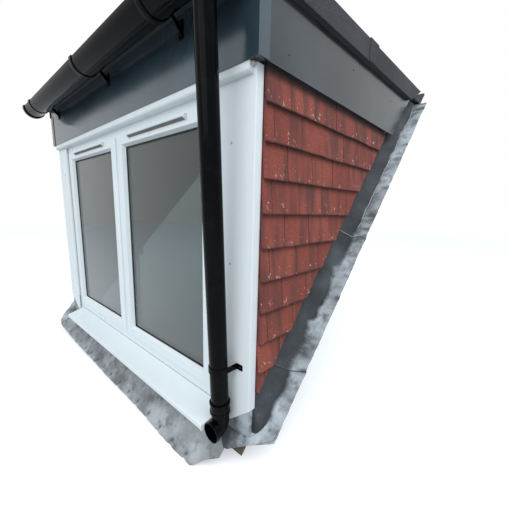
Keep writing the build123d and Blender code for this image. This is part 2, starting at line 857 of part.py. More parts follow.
def side_lead(flange_front, wrap_x):
    """The lead of the right cheek: its flange begins with these points, its wrap at this x."""
    with BuildPart() as lead:
        with BuildSketch(Plane.XY.offset(-far)):
            with BuildLine():
                Polyline(
                    *flange_front,
                    (flange_x, far),
                    (fold_x, far),
                    (fold_x, wrap_back),
                    (corner_x, wrap_back),
                    close=True,
                )
            make_face()
        extrude(amount=2 * far)
        split(bisect_by=lead_top, keep=Keep.BOTTOM)
        split(bisect_by=lead_under, keep=Keep.TOP)
        split(bisect_by=lead_section, keep=Keep.TOP)
        add(side_upstand())
        add(corner_gusset())
        with BuildSketch(Plane.XY.offset(apron_top)):
            rectangle(corner_x, plate_front - lead_t, corner_x + lead_t, wrap_back)
            rectangle(wrap_x, plate_front - lead_t, corner_x + lead_t, plate_front)
        extrude(amount=wrap_top - apron_top)
    return lead


def side_upstand():
    with BuildPart() as upstand:
        with BuildSketch(lead_section):
            with BuildLine():
                Polyline(
                    (fold_x, lead_n - lead_t),
                    (fold_x, lead_n),
                    (sheath_x + lead_t, lean_top),
                    (sheath_x + lead_t, upstand_top),
                    (sheath_x, upstand_top),
                    (sheath_x, lean_top - lead_t),
                    (fold_x - lead_t, lead_n - lead_t),
                    close=True,
                )
            make_face()
        extrude(amount=far)
        split(bisect_by=Plane(origin=(0, wrap_back, 0), z_dir=(0, 1, 0)), keep=Keep.TOP)
        with BuildSketch(Plane.YZ):
            with BuildLine():
                Polyline(
                    (slope_y(fascia_cut - lead_t, fascia_z), fascia_z),
                    (slope_y(fascia_cut - lead_t, 2 * far), 2 * far),
                    (-far, 2 * far),
                    (-far, fascia_z),
                    close=True,
                )
            make_face()
        extrude(amount=far, mode=Mode.SUBTRACT)
        split(bisect_by=cover_cut, keep=Keep.BOTTOM)
    return upstand.part


def corner_gusset():
    """Closes the end of the upstand below the white corner."""
    fold_z = wrap_back * slope + lead_rise
    lean = (lean_top - lead_n) / (fold_x - sheath_x - lead_t)
    gusset_rise = (fold_x - corner_x - lead_t) * lean / cos(radians(pitch))
    with BuildPart() as gusset:
        with BuildSketch(Plane.XZ.offset(-wrap_back)):
            with BuildLine():
                Polyline(
                    (corner_x, 0),
                    (fold_x, 0),
                    (fold_x, fold_z),
                    (corner_x + lead_t, fold_z + gusset_rise),
                    (corner_x, fold_z + gusset_rise),
                    close=True,
                )
            make_face()
        extrude(amount=lead_t)
        split(bisect_by=lead_under, keep=Keep.TOP)
    return gusset.part


side_lead_right = side_lead(
    (
        (corner_x, plate_front),
        (toe_x, plate_front),
        (toe_x, face_y - side_lead_toe[0]),
        (flange_x, face_y + side_lead_toe[1]),
    ),
    toe_x,
)
save(side_lead_right.part, "side_lead_right")

left_front = face_y - apron_left_rise + lead_joint
side_lead_left = side_lead(((corner_x, left_front), (flange_x, left_front)), corner_x)
save(mirror(side_lead_left.part, about=Plane.YZ), "side_lead_left")

# Half-round gutter with beaded rims
gutter_y = face_y - gutter_out
gutter_z = base_z + deck_height - gutter_drop
gutter_half = half_width + gutter_past
gutter_x0 = -gutter_half + fitting_t + fitting_gap
gutter_line = Plane(origin=(0, gutter_y, gutter_z), x_dir=(0, 1, 0), z_dir=(1, 0, 0))
outlet_x = gutter_half - outlet_inset


def half_disc(radius):
    """The lower half of a disc on the gutter's centreline."""
    Circle(radius)
    with Locations((0, radius)):
        Rectangle(2 * radius, 2 * radius, mode=Mode.SUBTRACT)


def half_ring(outer, inner):
    half_disc(outer)
    Circle(inner, mode=Mode.SUBTRACT)


with BuildPart() as gutter:
    with BuildSketch(gutter_line.offset(gutter_x0)):
        half_ring(gutter_radius, gutter_radius - gutter_t)
        with Locations((gutter_bead - gutter_radius, 0), (gutter_radius - gutter_bead, 0)):
            Circle(gutter_bead)
    extrude(amount=-2 * gutter_x0)
    with BuildSketch(Plane.XY.offset(gutter_z - gutter_radius)):
        with Locations((outlet_x, gutter_y)):
            Circle(pipe_radius - pipe_t)
    extrude(amount=gutter_radius, mode=Mode.SUBTRACT)
save(gutter.part, "gutter")

# Stop ends
fitting_radius = gutter_radius + fitting_gap
with BuildPart() as gutter_stop_ends:
    with BuildSketch(gutter_line.offset(gutter_half - stop_end_length)):
        half_ring(fitting_radius + fitting_t, fitting_radius)
    extrude(amount=stop_end_length)
    with BuildSketch(gutter_line.offset(gutter_half - fitting_t)):
        half_disc(fitting_radius + fitting_t)
    extrude(amount=fitting_t)
    with BuildSketch(gutter_line.offset(gutter_half - stop_end_length)):
        half_ring(fitting_radius + 2 * fitting_t, fitting_radius)
    extrude(amount=fitting_t)
    on_both_sides()
save(gutter_stop_ends.part, "gutter_stop_ends")

# Brackets that hold the gutter off the fascia
with BuildPart() as gutter_brackets:
    for place in (bracket_ends[0] - gutter_half, bracket_middle, gutter_half - bracket_ends[1]):
        with BuildSketch(gutter_line.offset(place - bracket_width / 2)):
            half_ring(fitting_radius + fitting_t, fitting_radius)
        extrude(amount=bracket_width)
        with BuildSketch(Plane.XZ.offset(-front_edge)):
            with Locations((place, gutter_z - bracket_plate_drop)):
                Rectangle(bracket_width, bracket_plate_height)
        extrude(amount=bracket_plate_t)
        with BuildSketch(gutter_line.offset(place - bracket_plate_t / 2)):
            with BuildLine():
                Polyline(
                    (fitting_radius + fitting_t / 2, 0),
                    (fitting_radius, -bracket_web_height),
                    (front_edge - gutter_y - bracket_plate_t, -bracket_plate_drop - bracket_web_height),
                    (front_edge - gutter_y - bracket_plate_t, bracket_web_height - bracket_plate_drop),
                    close=True,
                )
            make_face()
        extrude(amount=bracket_plate_t)
save(gutter_brackets.part, "gutter_brackets")

# Downpipe, leaning in from the gutter to the foot of the right panel
pipe_foot = Vector(outlet_x - pipe_lean, face_y - pipe_foot_out, base_z + pipe_foot_height)
pipe_head = Vector(outlet_x, gutter_y, gutter_z - gutter_radius)
pipe_way = (pipe_head - pipe_foot).normalized()
pipe_run = (pipe_head - pipe_foot).length
pipe_line = Plane(origin=pipe_foot, x_dir=(1, 0, 0), z_dir=pipe_way)
pipe_bore = pipe_radius - pipe_t

# Running outlet under the gutter, with a spigot inside the pipe
spigot_radius = pipe_bore - fitting_gap
with BuildPart() as gutter_outlet:
    with BuildSketch(gutter_line.offset(outlet_x - outlet_length / 2)):
        half_disc(fitting_radius + fitting_t)
    extrude(amount=outlet_length)
    with BuildSketch(pipe_line.offset(pipe_run - outlet_drop)):
        Circle(spigot_radius)
    extrude(amount=outlet_drop)
    with BuildSketch(pipe_line.offset(pipe_run - outlet_collar)):
        Circle(pipe_radius + socket_t)
    extrude(amount=outlet_collar)
    with BuildSketch(gutter_line.offset(outlet_x - outlet_length / 2)):
        Circle(fitting_radius)
    extrude(amount=outlet_length, mode=Mode.SUBTRACT)
    with BuildSketch(pipe_line.offset(pipe_run - outlet_drop)):
        Circle(spigot_radius - socket_t)
    extrude(amount=outlet_drop + gutter_radius, mode=Mode.SUBTRACT)
save(gutter_outlet.part, "gutter_outlet")

with BuildPart() as downpipe:
    with BuildSketch(pipe_line.offset(socket_stop - socket_length)):
        Circle(pipe_radius)
        Circle(pipe_bore, mode=Mode.SUBTRACT)
    extrude(amount=pipe_run - outlet_collar - socket_stop + socket_length)
save(downpipe.part, "downpipe")

# Shoe: a ringed socket over the pipe's end and a tight bend with a wide mouth towards the front
socket_bore = pipe_radius + fitting_gap
socket_radius = socket_bore + socket_t
down_way = -pipe_way
out_way = Vector(0, -1, 0)
bend_way = (out_way - down_way * out_way.dot(down_way)).normalized()
shoe_neck = pipe_foot + down_way * socket_length
shoe_side = Plane(origin=shoe_neck + down_way * shoe_drop, x_dir=bend_way, z_dir=bend_way.cross(down_way))
with BuildLine(shoe_side) as shoe_path:
    bend = CenterArc((shoe_bend, 0), shoe_bend, 180, -shoe_turn)
    neck = Line(shoe_neck, bend @ 0)
    spout = Line(bend @ 1, (bend @ 1) + (bend % 1) * shoe_spout)
shoe_mouth = Plane(origin=spout @ 1, z_dir=bend % 1)
with BuildPart() as pipe_shoe:
    with BuildSketch(pipe_line.offset(-socket_length)):
        Circle(socket_radius)
    extrude(amount=socket_length)
    for ring_place in (-socket_ring_height, -socket_length):
        with BuildSketch(pipe_line.offset(ring_place)):
            Circle(socket_radius + socket_ring)
        extrude(amount=socket_ring_height)
    with BuildSketch(Plane(origin=shoe_neck, z_dir=down_way)):
        Circle(pipe_radius)
    sweep(path=shoe_path.line)
    with BuildSketch(shoe_mouth):
        Circle(pipe_radius + shoe_collar_t)
    extrude(amount=-shoe_spout)
    with BuildSketch(pipe_line.offset(socket_stop - socket_length)):
        Circle(socket_bore)
    extrude(amount=socket_length, mode=Mode.SUBTRACT)
    with BuildSketch(Plane(origin=shoe_neck, z_dir=down_way)):
        Circle(pipe_bore)
    extrude(amount=-socket_stop, mode=Mode.SUBTRACT)
    with BuildSketch(Plane(origin=shoe_neck, z_dir=down_way)):
        Circle(pipe_bore)
    sweep(path=shoe_path.line, mode=Mode.SUBTRACT)
    with BuildSketch(shoe_mouth):
        Circle(pipe_radius + shoe_collar_t - shoe_mouth_t)
    extrude(amount=shoe_mouth_end - shoe_spout, mode=Mode.SUBTRACT)
save(pipe_shoe.part, "pipe_shoe")

# Strap that holds the foot of the pipe to the panel, with a foot on each side
clip_run = (base_z + clip_height - pipe_foot.Z) / pipe_way.Z
clip_centre = pipe_foot + pipe_way * clip_run
clip_half = socket_bore + clip_t
with BuildPart() as pipe_clip:
    with BuildSketch(Plane.XY.offset(clip_centre.Z - clip_band / 2)):
        with Locations((clip_centre.X, clip_centre.Y)):
            Circle(clip_half)
        rectangle(clip_centre.X - clip_half, clip_centre.Y, clip_centre.X + clip_half, face_y)
        with Locations((clip_centre.X, (clip_centre.Y + face_y) / 2)):
            Rectangle(2 * socket_bore, face_y - clip_centre.Y, mode=Mode.SUBTRACT)
        for side in (-1, 1):
            rectangle(
                clip_centre.X + side * socket_bore,
                face_y - clip_t,
                clip_centre.X + side * (clip_half + clip_foot),
                face_y,
            )
    extrude(amount=clip_band)
    with BuildSketch(pipe_line.offset(clip_run - clip_band)):
        Circle(socket_bore)
    extrude(amount=2 * clip_band, mode=Mode.SUBTRACT)
save(pipe_clip.part, "pipe_clip")
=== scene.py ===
import bpy
import bmesh
import json
import math
import random
from mathutils import Matrix, Vector, noise


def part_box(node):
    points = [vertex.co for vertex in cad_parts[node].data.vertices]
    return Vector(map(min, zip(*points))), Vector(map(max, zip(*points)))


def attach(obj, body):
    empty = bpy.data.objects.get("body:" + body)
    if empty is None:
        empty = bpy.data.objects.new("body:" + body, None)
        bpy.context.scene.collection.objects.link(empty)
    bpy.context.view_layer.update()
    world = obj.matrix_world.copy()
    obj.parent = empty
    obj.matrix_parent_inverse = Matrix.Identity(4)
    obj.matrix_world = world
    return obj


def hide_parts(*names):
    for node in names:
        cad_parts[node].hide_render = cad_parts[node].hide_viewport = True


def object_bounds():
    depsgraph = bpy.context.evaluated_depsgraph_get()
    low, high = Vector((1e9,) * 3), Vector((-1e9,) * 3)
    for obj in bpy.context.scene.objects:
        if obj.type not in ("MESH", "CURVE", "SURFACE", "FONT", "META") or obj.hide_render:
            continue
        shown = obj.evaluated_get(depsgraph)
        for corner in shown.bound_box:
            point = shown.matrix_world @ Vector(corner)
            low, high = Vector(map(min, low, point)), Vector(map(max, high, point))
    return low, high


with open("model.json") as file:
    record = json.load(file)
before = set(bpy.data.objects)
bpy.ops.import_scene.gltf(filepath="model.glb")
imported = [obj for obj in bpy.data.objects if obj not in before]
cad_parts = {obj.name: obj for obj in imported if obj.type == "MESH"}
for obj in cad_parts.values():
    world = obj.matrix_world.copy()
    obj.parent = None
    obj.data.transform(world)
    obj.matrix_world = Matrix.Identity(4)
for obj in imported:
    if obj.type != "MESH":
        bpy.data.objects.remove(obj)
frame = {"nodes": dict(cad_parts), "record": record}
cadLow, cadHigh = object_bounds()
print("frame loaded,", len(frame["nodes"]), "nodes")

# Camera, standing on the roof to the right of the window
cameraSet = {
    "place": (1.667, -0.756, 0.9057),
    "yaw": 42.53,  # left of straight ahead
    "pitch": 10.69,  # down
    "roll": -1.44,
    "lens": 19.79,
    "sensor": 36,
    "nearest": 0.02,
}


def placeCamera(s):
    yaw, pitch, roll = (math.radians(s[k]) for k in ("yaw", "pitch", "roll"))
    ahead = Vector((-math.sin(yaw) * math.cos(pitch), math.cos(yaw) * math.cos(pitch), -math.sin(pitch)))
    level = Vector((math.cos(yaw), math.sin(yaw), 0))
    up = level.cross(ahead)
    right = level * math.cos(roll) - up * math.sin(roll)
    over = up * math.cos(roll) + level * math.sin(roll)
    cam = bpy.data.objects.new("camera", bpy.data.cameras.new("camera"))
    bpy.context.scene.collection.objects.link(cam)
    cam.matrix_world = Matrix.Translation(s["place"]) @ Matrix((right, over, -ahead)).transposed().to_4x4()
    cam.data.lens = s["lens"]
    cam.data.sensor_width = s["sensor"]
    cam.data.clip_start = s["nearest"]
    bpy.context.scene.camera = cam


placeCamera(cameraSet)
bpy.context.scene.view_settings.view_transform = "Standard"


def newFinish(name, colour, roughness, specular=0.5, metallic=0.0):
    mat = bpy.data.materials.new(name)
    mat.use_nodes = True
    shader = mat.node_tree.nodes["Principled BSDF"]
    shader.inputs["Base Color"].default_value = (*colour, 1)
    shader.inputs["Roughness"].default_value = roughness
    shader.inputs["Specular IOR Level"].default_value = specular
    shader.inputs["Metallic"].default_value = metallic
    return mat, mat.node_tree


# Pale floor and soft overcast light from above
studioSet = {
    "floorSize": 30,
    "floorDrop": 0.002,  # below the object
    "floorTone": 0.86,
    "floorRough": 0.9,
    "floorGlow": 0.30,
    "floorBounce": 0.42,  # what the floor throws back at the underside
    "sky": (0.80, 0.90, 1.0),
    "skyStrength": 0.88,
    "lamps": (
        # place, size, power, what it points at
        ((2.0, -5.6, 4.7), 6.5, 262, (0, 0, 0.8)),
        ((3.9, -0.9, 5.6), 4.0, 200, (0.8, 0.5, 0.8)),
    ),
}


def splitRays(tree, plain, seen, surface):
    # one shader for plain light, the other for what the camera, gloss or glass sees
    nodes, links = tree.nodes, tree.links
    path = nodes.new("ShaderNodeLightPath")
    total = path.outputs["Is Camera Ray"]
    for kind in ("Is Glossy Ray", "Is Transmission Ray"):
        most = nodes.new("ShaderNodeMath")
        most.operation = "MAXIMUM"
        links.new(total, most.inputs[0])
        links.new(path.outputs[kind], most.inputs[1])
        total = most.outputs[0]
    mix = nodes.new("ShaderNodeMixShader")
    for socket, source in zip(mix.inputs, (total, plain.outputs[0], seen.outputs[0])):
        links.new(source, socket)
    links.new(mix.outputs[0], surface)


def makeWorld(s):
    world = bpy.data.worlds.new("overcast")
    bpy.context.scene.world = world
    world.use_nodes = True
    tree = world.node_tree
    light = tree.nodes["Background"]
    seen = tree.nodes.new("ShaderNodeBackground")
    for shader, colour, strength in ((light, s["sky"], s["skyStrength"]), (seen, (1, 1, 1), 1)):
        shader.inputs["Color"].default_value = (*colour, 1)
        shader.inputs["Strength"].default_value = strength
    splitRays(tree, light, seen, tree.nodes["World Output"].inputs["Surface"])


def makeFloor(s):
    bpy.ops.mesh.primitive_plane_add(size=s["floorSize"], location=(0, 0, cadLow.z - s["floorDrop"]))
    floor = bpy.context.object
    floor.name = "floor"
    mat, tree = newFinish("paleFloor", [s["floorTone"]] * 3, s["floorRough"])
    nodes, links = tree.nodes, tree.links
    glow = nodes.new("ShaderNodeEmission")
    glow.inputs["Strength"].default_value = s["floorGlow"]
    seen = nodes.new("ShaderNodeAddShader")
    links.new(nodes["Principled BSDF"].outputs[0], seen.inputs[0])
    links.new(glow.outputs[0], seen.inputs[1])
    bounce = nodes.new("ShaderNodeBsdfDiffuse")
    bounce.inputs["Color"].default_value = (*([s["floorBounce"]] * 3), 1)
    splitRays(tree, bounce, seen, nodes["Material Output"].inputs["Surface"])
    floor.data.materials.append(mat)


def makeLamps(s):
    for place, size, power, target in s["lamps"]:
        lamp = bpy.data.lights.new("softbox", "AREA")
        lamp.size = size
        lamp.energy = power
        holder = bpy.data.objects.new("softbox", lamp)
        holder.location = place
        holder.rotation_euler = (Vector(target) - Vector(place)).to_track_quat("-Z", "Y").to_euler()
        bpy.context.scene.collection.objects.link(holder)


makeWorld(studioSet)
makeFloor(studioSet)
makeLamps(studioSet)
print("camera and studio ready")

# Directions on the main roof: up the rafters, and square to them
roofSlope = math.radians(47)
alongSlope = Vector((0, math.cos(roofSlope), math.sin(roofSlope)))
offSlope = Vector((0, -math.sin(roofSlope), math.cos(roofSlope)))


# Small helpers for finishes
def shaded(mat, tone=None, rough=None, normal=None):
    shader = mat.node_tree.nodes["Principled BSDF"]
    for value, socket in ((tone, "Base Color"), (rough, "Roughness"), (normal, "Normal")):
        if value is not None:
            mat.node_tree.links.new(value, shader.inputs[socket])
    return mat


def feed(t, value, socket):
    # a link where the value comes from a node, a plain setting otherwise
    if isinstance(value, bpy.types.NodeSocket):
        t.links.new(value, socket)
    else:
        socket.default_value = (*value, 1) if isinstance(value, tuple) else value


def spot(t, scale=(1, 1, 1), turn=(0, 0, 0)):
    # place on the object, in metres, stretched by the scale
    coords = t.nodes.new("ShaderNodeTexCoord")
    mapping = t.nodes.new("ShaderNodeMapping")
    mapping.inputs["Scale"].default_value = scale
    mapping.inputs["Rotation"].default_value = [math.radians(a) for a in turn]
    t.links.new(coords.outputs["Object"], mapping.inputs["Vector"])
    return mapping.outputs["Vector"]


def cloud(t, size, detail=4.0, rough=0.55, at=None):
    # noise, finer as the size grows
    tex = t.nodes.new("ShaderNodeTexNoise")
    tex.inputs["Scale"].default_value = size
    tex.inputs["Detail"].default_value = detail
    tex.inputs["Roughness"].default_value = rough
    t.links.new(spot(t) if at is None else at, tex.inputs["Vector"])
    return tex.outputs["Fac"]


def wander(t, along, size, detail=3.0):
    # noise along a line
    tex = t.nodes.new("ShaderNodeTexNoise")
    tex.noise_dimensions = "1D"
    tex.inputs["Scale"].default_value = size
    tex.inputs["Detail"].default_value = detail
    t.links.new(along, tex.inputs["W"])
    return tex.outputs["Fac"]


def cells(t, size, at=None):
    # a tone for each cell, and the distance to its middle
    tex = t.nodes.new("ShaderNodeTexVoronoi")
    tex.inputs["Scale"].default_value = size
    t.links.new(spot(t) if at is None else at, tex.inputs["Vector"])
    split = t.nodes.new("ShaderNodeSeparateColor")
    t.links.new(tex.outputs["Color"], split.inputs[0])
    return split.outputs[0], tex.outputs["Distance"]


def ramp(t, fac, *stops):
    node = t.nodes.new("ShaderNodeValToRGB")
    line = node.color_ramp
    while len(line.elements) < len(stops):
        line.elements.new(0.5)
    for element, (place, colour) in zip(line.elements, stops):
        element.position = place
        element.color = (colour, colour, colour, 1) if isinstance(colour, (int, float)) else (*colour, 1)
    t.links.new(fac, node.inputs["Fac"])
    return node.outputs["Color"]


def blend(t, fac, under, over):
    node = t.nodes.new("ShaderNodeMix")
    node.data_type = "RGBA"
    for socket, value in ((node.inputs[0], fac), (node.inputs[6], under), (node.inputs[7], over)):
        feed(t, value, socket)
    return node.outputs[2]


def cover(t, tone, colour, fac, *stops):
    # the colour over the tone, as strongly as the ramp says
    return blend(t, ramp(t, fac, *stops), tone, colour)


def relief(t, height, depth, strength, under=None):
    node = t.nodes.new("ShaderNodeBump")
    node.inputs["Distance"].default_value = depth
    node.inputs["Strength"].default_value = strength
    t.links.new(height, node.inputs["Height"])
    if under is not None:
        t.links.new(under, node.inputs["Normal"])
    return node.outputs["Normal"]


def sums(t, kind, a, b=0.0):
    node = t.nodes.new("ShaderNodeMath")
    node.operation = kind
    feed(t, a, node.inputs[0])
    feed(t, b, node.inputs[1])
    return node.outputs[0]


def plus(t, a, b):
    return sums(t, "ADD", a, b)


def minus(t, a, b):
    return sums(t, "SUBTRACT", a, b)


def times(t, a, b):
    return sums(t, "MULTIPLY", a, b)


def axisOf(t, axis):
    split = t.nodes.new("ShaderNodeSeparateXYZ")
    t.links.new(spot(t), split.inputs[0])
    return split.outputs[axis]


def fromMiddle(t):
    # how far to either side of the window's middle a point lies
    return sums(t, "ABSOLUTE", axisOf(t, "X"))


def upSlope(t):
    # how far up the main roof a point lies
    level = times(t, axisOf(t, "Y"), math.cos(roofSlope))
    return plus(t, level, times(t, axisOf(t, "Z"), math.sin(roofSlope)))


def written(t, name):
    # a value that the mesh carries, such as how far down its tile a point lies
    node = t.nodes.new("ShaderNodeAttribute")
    node.attribute_name = name
    return node.outputs["Fac"]


# Finishes, one or more for each material of the real window
plasticSet = {
    "clean": (0.715, 0.765, 0.780),
    "dusty": (0.675, 0.720, 0.730),
    "gloss": (0.26, 0.36),
    "specular": 0.1,
    "rain": (16, 16, 0.9),  # streaks that run down
}


def whitePlastic(s):
    mat, t = newFinish("whiteWindowPlastic", s["clean"], s["gloss"][0], s["specular"])
    tone = cover(t, s["clean"], s["dusty"], cloud(t, 1.6, 2), (0.40, 0.0), (0.75, 0.7))
    rain = cloud(t, 1.0, 1, at=spot(t, s["rain"]))
    tone = cover(t, tone, s["dusty"], rain, (0.50, 0.0), (0.80, 0.5))
    rough = ramp(t, cloud(t, 9, 3), (0.3, s["gloss"][0]), (0.7, s["gloss"][1]))
    return shaded(mat, tone, rough, relief(t, cloud(t, 4, 1), 0.0008, 0.2))


# Front fascia: the black and worn tones are raised and made bluish as painted sky reflection
boardSet = {
    "black": (0.022, 0.038, 0.050),
    "worn": (0.042, 0.066, 0.086),
    "gloss": (0.16, 0.24),
    "sheen": (0.80, 0.93, 1.0),
    "shine": 1.0,
    "wiped": (5, 5, 16),
    "drawn": (9, 9, 330),  # fine lines along the board
}
# The side copy is darker and less shiny, as painted reflection of the darker roof beside it
sideBoardSet = dict(boardSet, black=(0.012, 0.013, 0.015), worn=(0.038, 0.042, 0.049), shine=0.75)


def satinBoard(s, name):
    mat, t = newFinish(name, s["black"], s["gloss"][0], s["shine"])
    t.nodes["Principled BSDF"].inputs["Specular Tint"].default_value = (*s["sheen"], 1)
    # the mottled base tones carry the painted reflection
    tone = ramp(t, cloud(t, 3.5, 5), (0.35, s["black"]), (0.75, s["worn"]))
    wiped = cloud(t, 1.0, 5, at=spot(t, s["wiped"]))
    rough = ramp(t, wiped, (0.3, s["gloss"][0]), (0.75, s["gloss"][1]))
    lines = relief(t, cloud(t, 1.0, 3, at=spot(t, s["drawn"])), 0.0001, 0.2)
    return shaded(mat, tone, rough, relief(t, cloud(t, 520, 2, 0.7), 0.0002, 0.3, lines))


gutterSet = {
    "black": (0.0016, 0.0020, 0.0028),
    "dusty": (0.006, 0.0066, 0.0078),
    "gloss": (0.10, 0.17),
    "specular": 0.05,
}


def gutterPlastic(s, name, drawn):
    mat, t = newFinish(name, s["black"], s["gloss"][0], s["specular"])
    tone = cover(t, s["black"], s["dusty"], cloud(t, 26, 6), (0.54, 0.0), (0.82, 0.8))
    rough = ramp(t, cloud(t, 7, 4), (0.35, s["gloss"][0]), (0.8, s["gloss"][1]))
    return shaded(mat, tone, rough, relief(t, cloud(t, 1.0, 2, at=spot(t, drawn)), 0.0016, 0.35))


clayWearAndShade = {
    "clay": (0.232, 0.049, 0.036),
    "pale": (0.330, 0.084, 0.055),
    "smoked": (0.105, 0.041, 0.036),
    "sootAndShade": (0.026, 0.016, 0.015),
    "sand": (0.42, 0.135, 0.085),
    "lime": (0.60, 0.49, 0.46),
    "specks": 230,
    "splashes": 62,
    "combed": (160, 160, 7),
    "eaves": 1.300,  # painted shadow and soot above this height, under the fascia
}


def tilePlace(t, *scaled):
    # a place in the noise that no other tile has
    place = t.nodes.new("ShaderNodeCombineXYZ")
    for socket, (value, scale) in zip(place.inputs, scaled):
        t.links.new(times(t, value, scale), socket)
    return place.outputs[0]


def hungClay(s):
    mat, t = newFinish("sandFacedClay", s["clay"], 0.74, 0.2)
    seed, down, across = (written(t, name) for name in ("tileSeed", "tileDown", "tileAcross"))
    body = blend(t, seed, s["clay"], s["pale"])
    speck = cloud(t, s["specks"], 4, 0.8)
    body = cover(t, body, s["smoked"], speck, (0.40, 0.75), (0.56, 0.0))
    body = cover(t, body, s["sand"], speck, (0.54, 0.0), (0.68, 0.5))
    # smoky bands and sooty hairlines run down each tile
    band = cloud(t, 1.15, 2.0, 0.5, tilePlace(t, (across, 2.7), (seed, 91.0), (down, 0.9)))
    body = cover(t, body, s["smoked"], band, (0.43, 0.0), (0.65, 0.9))
    hair = cloud(t, 1.0, 1.0, at=tilePlace(t, (across, 15.0), (seed, 57.0)))
    body = cover(t, body, s["sootAndShade"], hair, (0.62, 0.0), (0.80, 0.3))
    # lime splashes gather near the tails; painted shadow and soot darken the eaves, painted shadow darkens
    # the heads just below each overlapping tail, and painted shade with dirt darkens the lower edges
    near = ramp(t, down, (0.70, 0.82), (0.90, 1.0))
    splash = times(t, cloud(t, s["splashes"], 5, 0.72, spot(t, (1, 1, 0.7))), near)
    body = cover(t, body, s["lime"], splash, (0.605, 0.0), (0.650, 0.85))
    eaves = times(t, minus(t, axisOf(t, "Z"), s["eaves"]), 40.0)
    body = cover(t, body, s["sootAndShade"], eaves, (0.0, 0.0), (0.8, 0.85))
    body = cover(t, body, s["sootAndShade"], down, (0.50, 0.60), (0.64, 0.0), (0.975, 0.0), (0.995, 0.8))
    comb = relief(t, cloud(t, 1.0, 3, at=spot(t, s["combed"])), 0.0008, 0.5)
    return shaded(mat, body, normal=relief(t, cloud(t, 900, 3, 0.7), 0.0006, 0.6, comb))


leadWearAndPaintedLight = {
    "deep": (0.019, 0.021, 0.024),
    "dull": (0.100, 0.110, 0.116),
    "pale": (0.235, 0.262, 0.272),
    "bloom": (0.390, 0.425, 0.435),
    "warm": (0.290, 0.272, 0.255),
}
sideWearAndPaintedLight = {
    "deep": (0.030, 0.033, 0.037),
    "dull": (0.070, 0.078, 0.086),
    "pale": (0.205, 0.232, 0.255),
    "bloom": (0.43, 0.48, 0.515),
    "warm": leadWearAndPaintedLight["warm"],
    "chalk": (0.68, 0.73, 0.76),
    "foldPath": 1.057,  # where the painted shade of the upstand meets the pale flange
    "cornerPath": 0.90,  # where the dark end of a corner sheet gives way to the pale one
}


def mottledLead(t, s, warmth):
    tone = ramp(t, cloud(t, 8, 5, 0.6), (0.36, s["dull"]), (0.47, s["pale"]), (0.64, s["bloom"]))
    tone = blend(t, warmth, tone, s["warm"])
    tone = cover(t, tone, s["dull"], cloud(t, 23, 4), (0.52, 0.0), (0.68, 0.75))
    smear = cloud(t, 1.0, 5, 0.65, spot(t, (8, 26, 26), (43, 0, 0)))
    return cover(t, tone, s["bloom"], smear, (0.50, 0.0), (0.72, 0.6))


def foldedSide(t, s, tone):
    along = upSlope(t)
    # the dark part is painted shade on the upstand against the cheek, mottled; its edge swings widely lower
    # down, and steps in at the foot
    swing = ramp(t, times(t, along, 0.5), (0.0, 0.085), (0.42, 0.075), (0.52, 0.022), (1.0, 0.016))
    path = times(t, minus(t, wander(t, along, 7, 3), 0.5), swing)
    foot = ramp(t, plus(t, times(t, axisOf(t, "Y"), 10.0), 1.0), (0.50, 0.15), (0.72, 0.0))
    past = minus(t, minus(t, plus(t, path, s["foldPath"]), foot), fromMiddle(t))
    patch = cloud(t, 7, 4, 0.5, spot(t, (1, 1, 1.4)))
    deep = cover(t, s["deep"], s["dull"], patch, (0.35, 0.0), (0.70, 0.85))
    tone = cover(t, tone, deep, plus(t, times(t, past, 45.0), 0.5), (0.1, 0.0), (0.9, 1.0))
    # chalk line snapped near the fold, worn away in places
    line = minus(t, 1.0, times(t, sums(t, "ABSOLUTE", minus(t, past, 0.001)), 620.0))
    kept = ramp(t, wander(t, along, 16, 4), (0.40, 0.0), (0.46, 1.0))
    upper = ramp(t, times(t, along, 0.5), (0.50, 0.0), (0.53, 1.0))
    line = times(t, sums(t, "MAXIMUM", line, 0.0), times(t, kept, upper))
    return blend(t, line, tone, s["chalk"])


def foldedCorner(t, s, tone):
    wavy = times(t, minus(t, cloud(t, 18, 4), 0.5), 0.09)
    past = times(t, minus(t, plus(t, fromMiddle(t), wavy), s["cornerPath"]), 5.0)
    return cover(t, tone, s["deep"], past, (0.22, 0.9), (0.38, 0.0))


def plainSheet(t, s, tone):
    return cover(t, tone, s["dull"], cloud(t, 5, 6, 0.6), (0.36, 0.3), (0.52, 0.0))


def dressedLead(s, name, warmth, marks):
    mat, t = newFinish(name, s["dull"], 0.6, 0.25, 0.08)
    tone = marks(t, s, mottledLead(t, s, warmth))
    # the dents, laps and steps carry painted shade and painted highlight
    tone = blend(t, written(t, "dentShade"), tone, s["deep"])
    tone = blend(t, written(t, "dentShine"), tone, s["bloom"])
    scuff = cloud(t, 170, 4, 0.7)
    tone = cover(t, tone, s["bloom"], scuff, (0.64, 0.0), (0.76, 0.55))
    tone = cover(t, tone, s["deep"], scuff, (0.26, 0.5), (0.38, 0.0))
    rough = ramp(t, cloud(t, 13, 4), (0.3, 0.50), (0.7, 0.72))
    hammered = relief(t, cloud(t, 30, 3), 0.004, 0.35)
    return shaded(mat, tone, rough, relief(t, scuff, 0.0006, 0.3, hammered))


feltWear = {
    "bitumen": (0.008, 0.009, 0.011),
    "grit": (0.075, 0.084, 0.098),
    "dust": (0.085, 0.095, 0.105),
    "grains": 260,
}


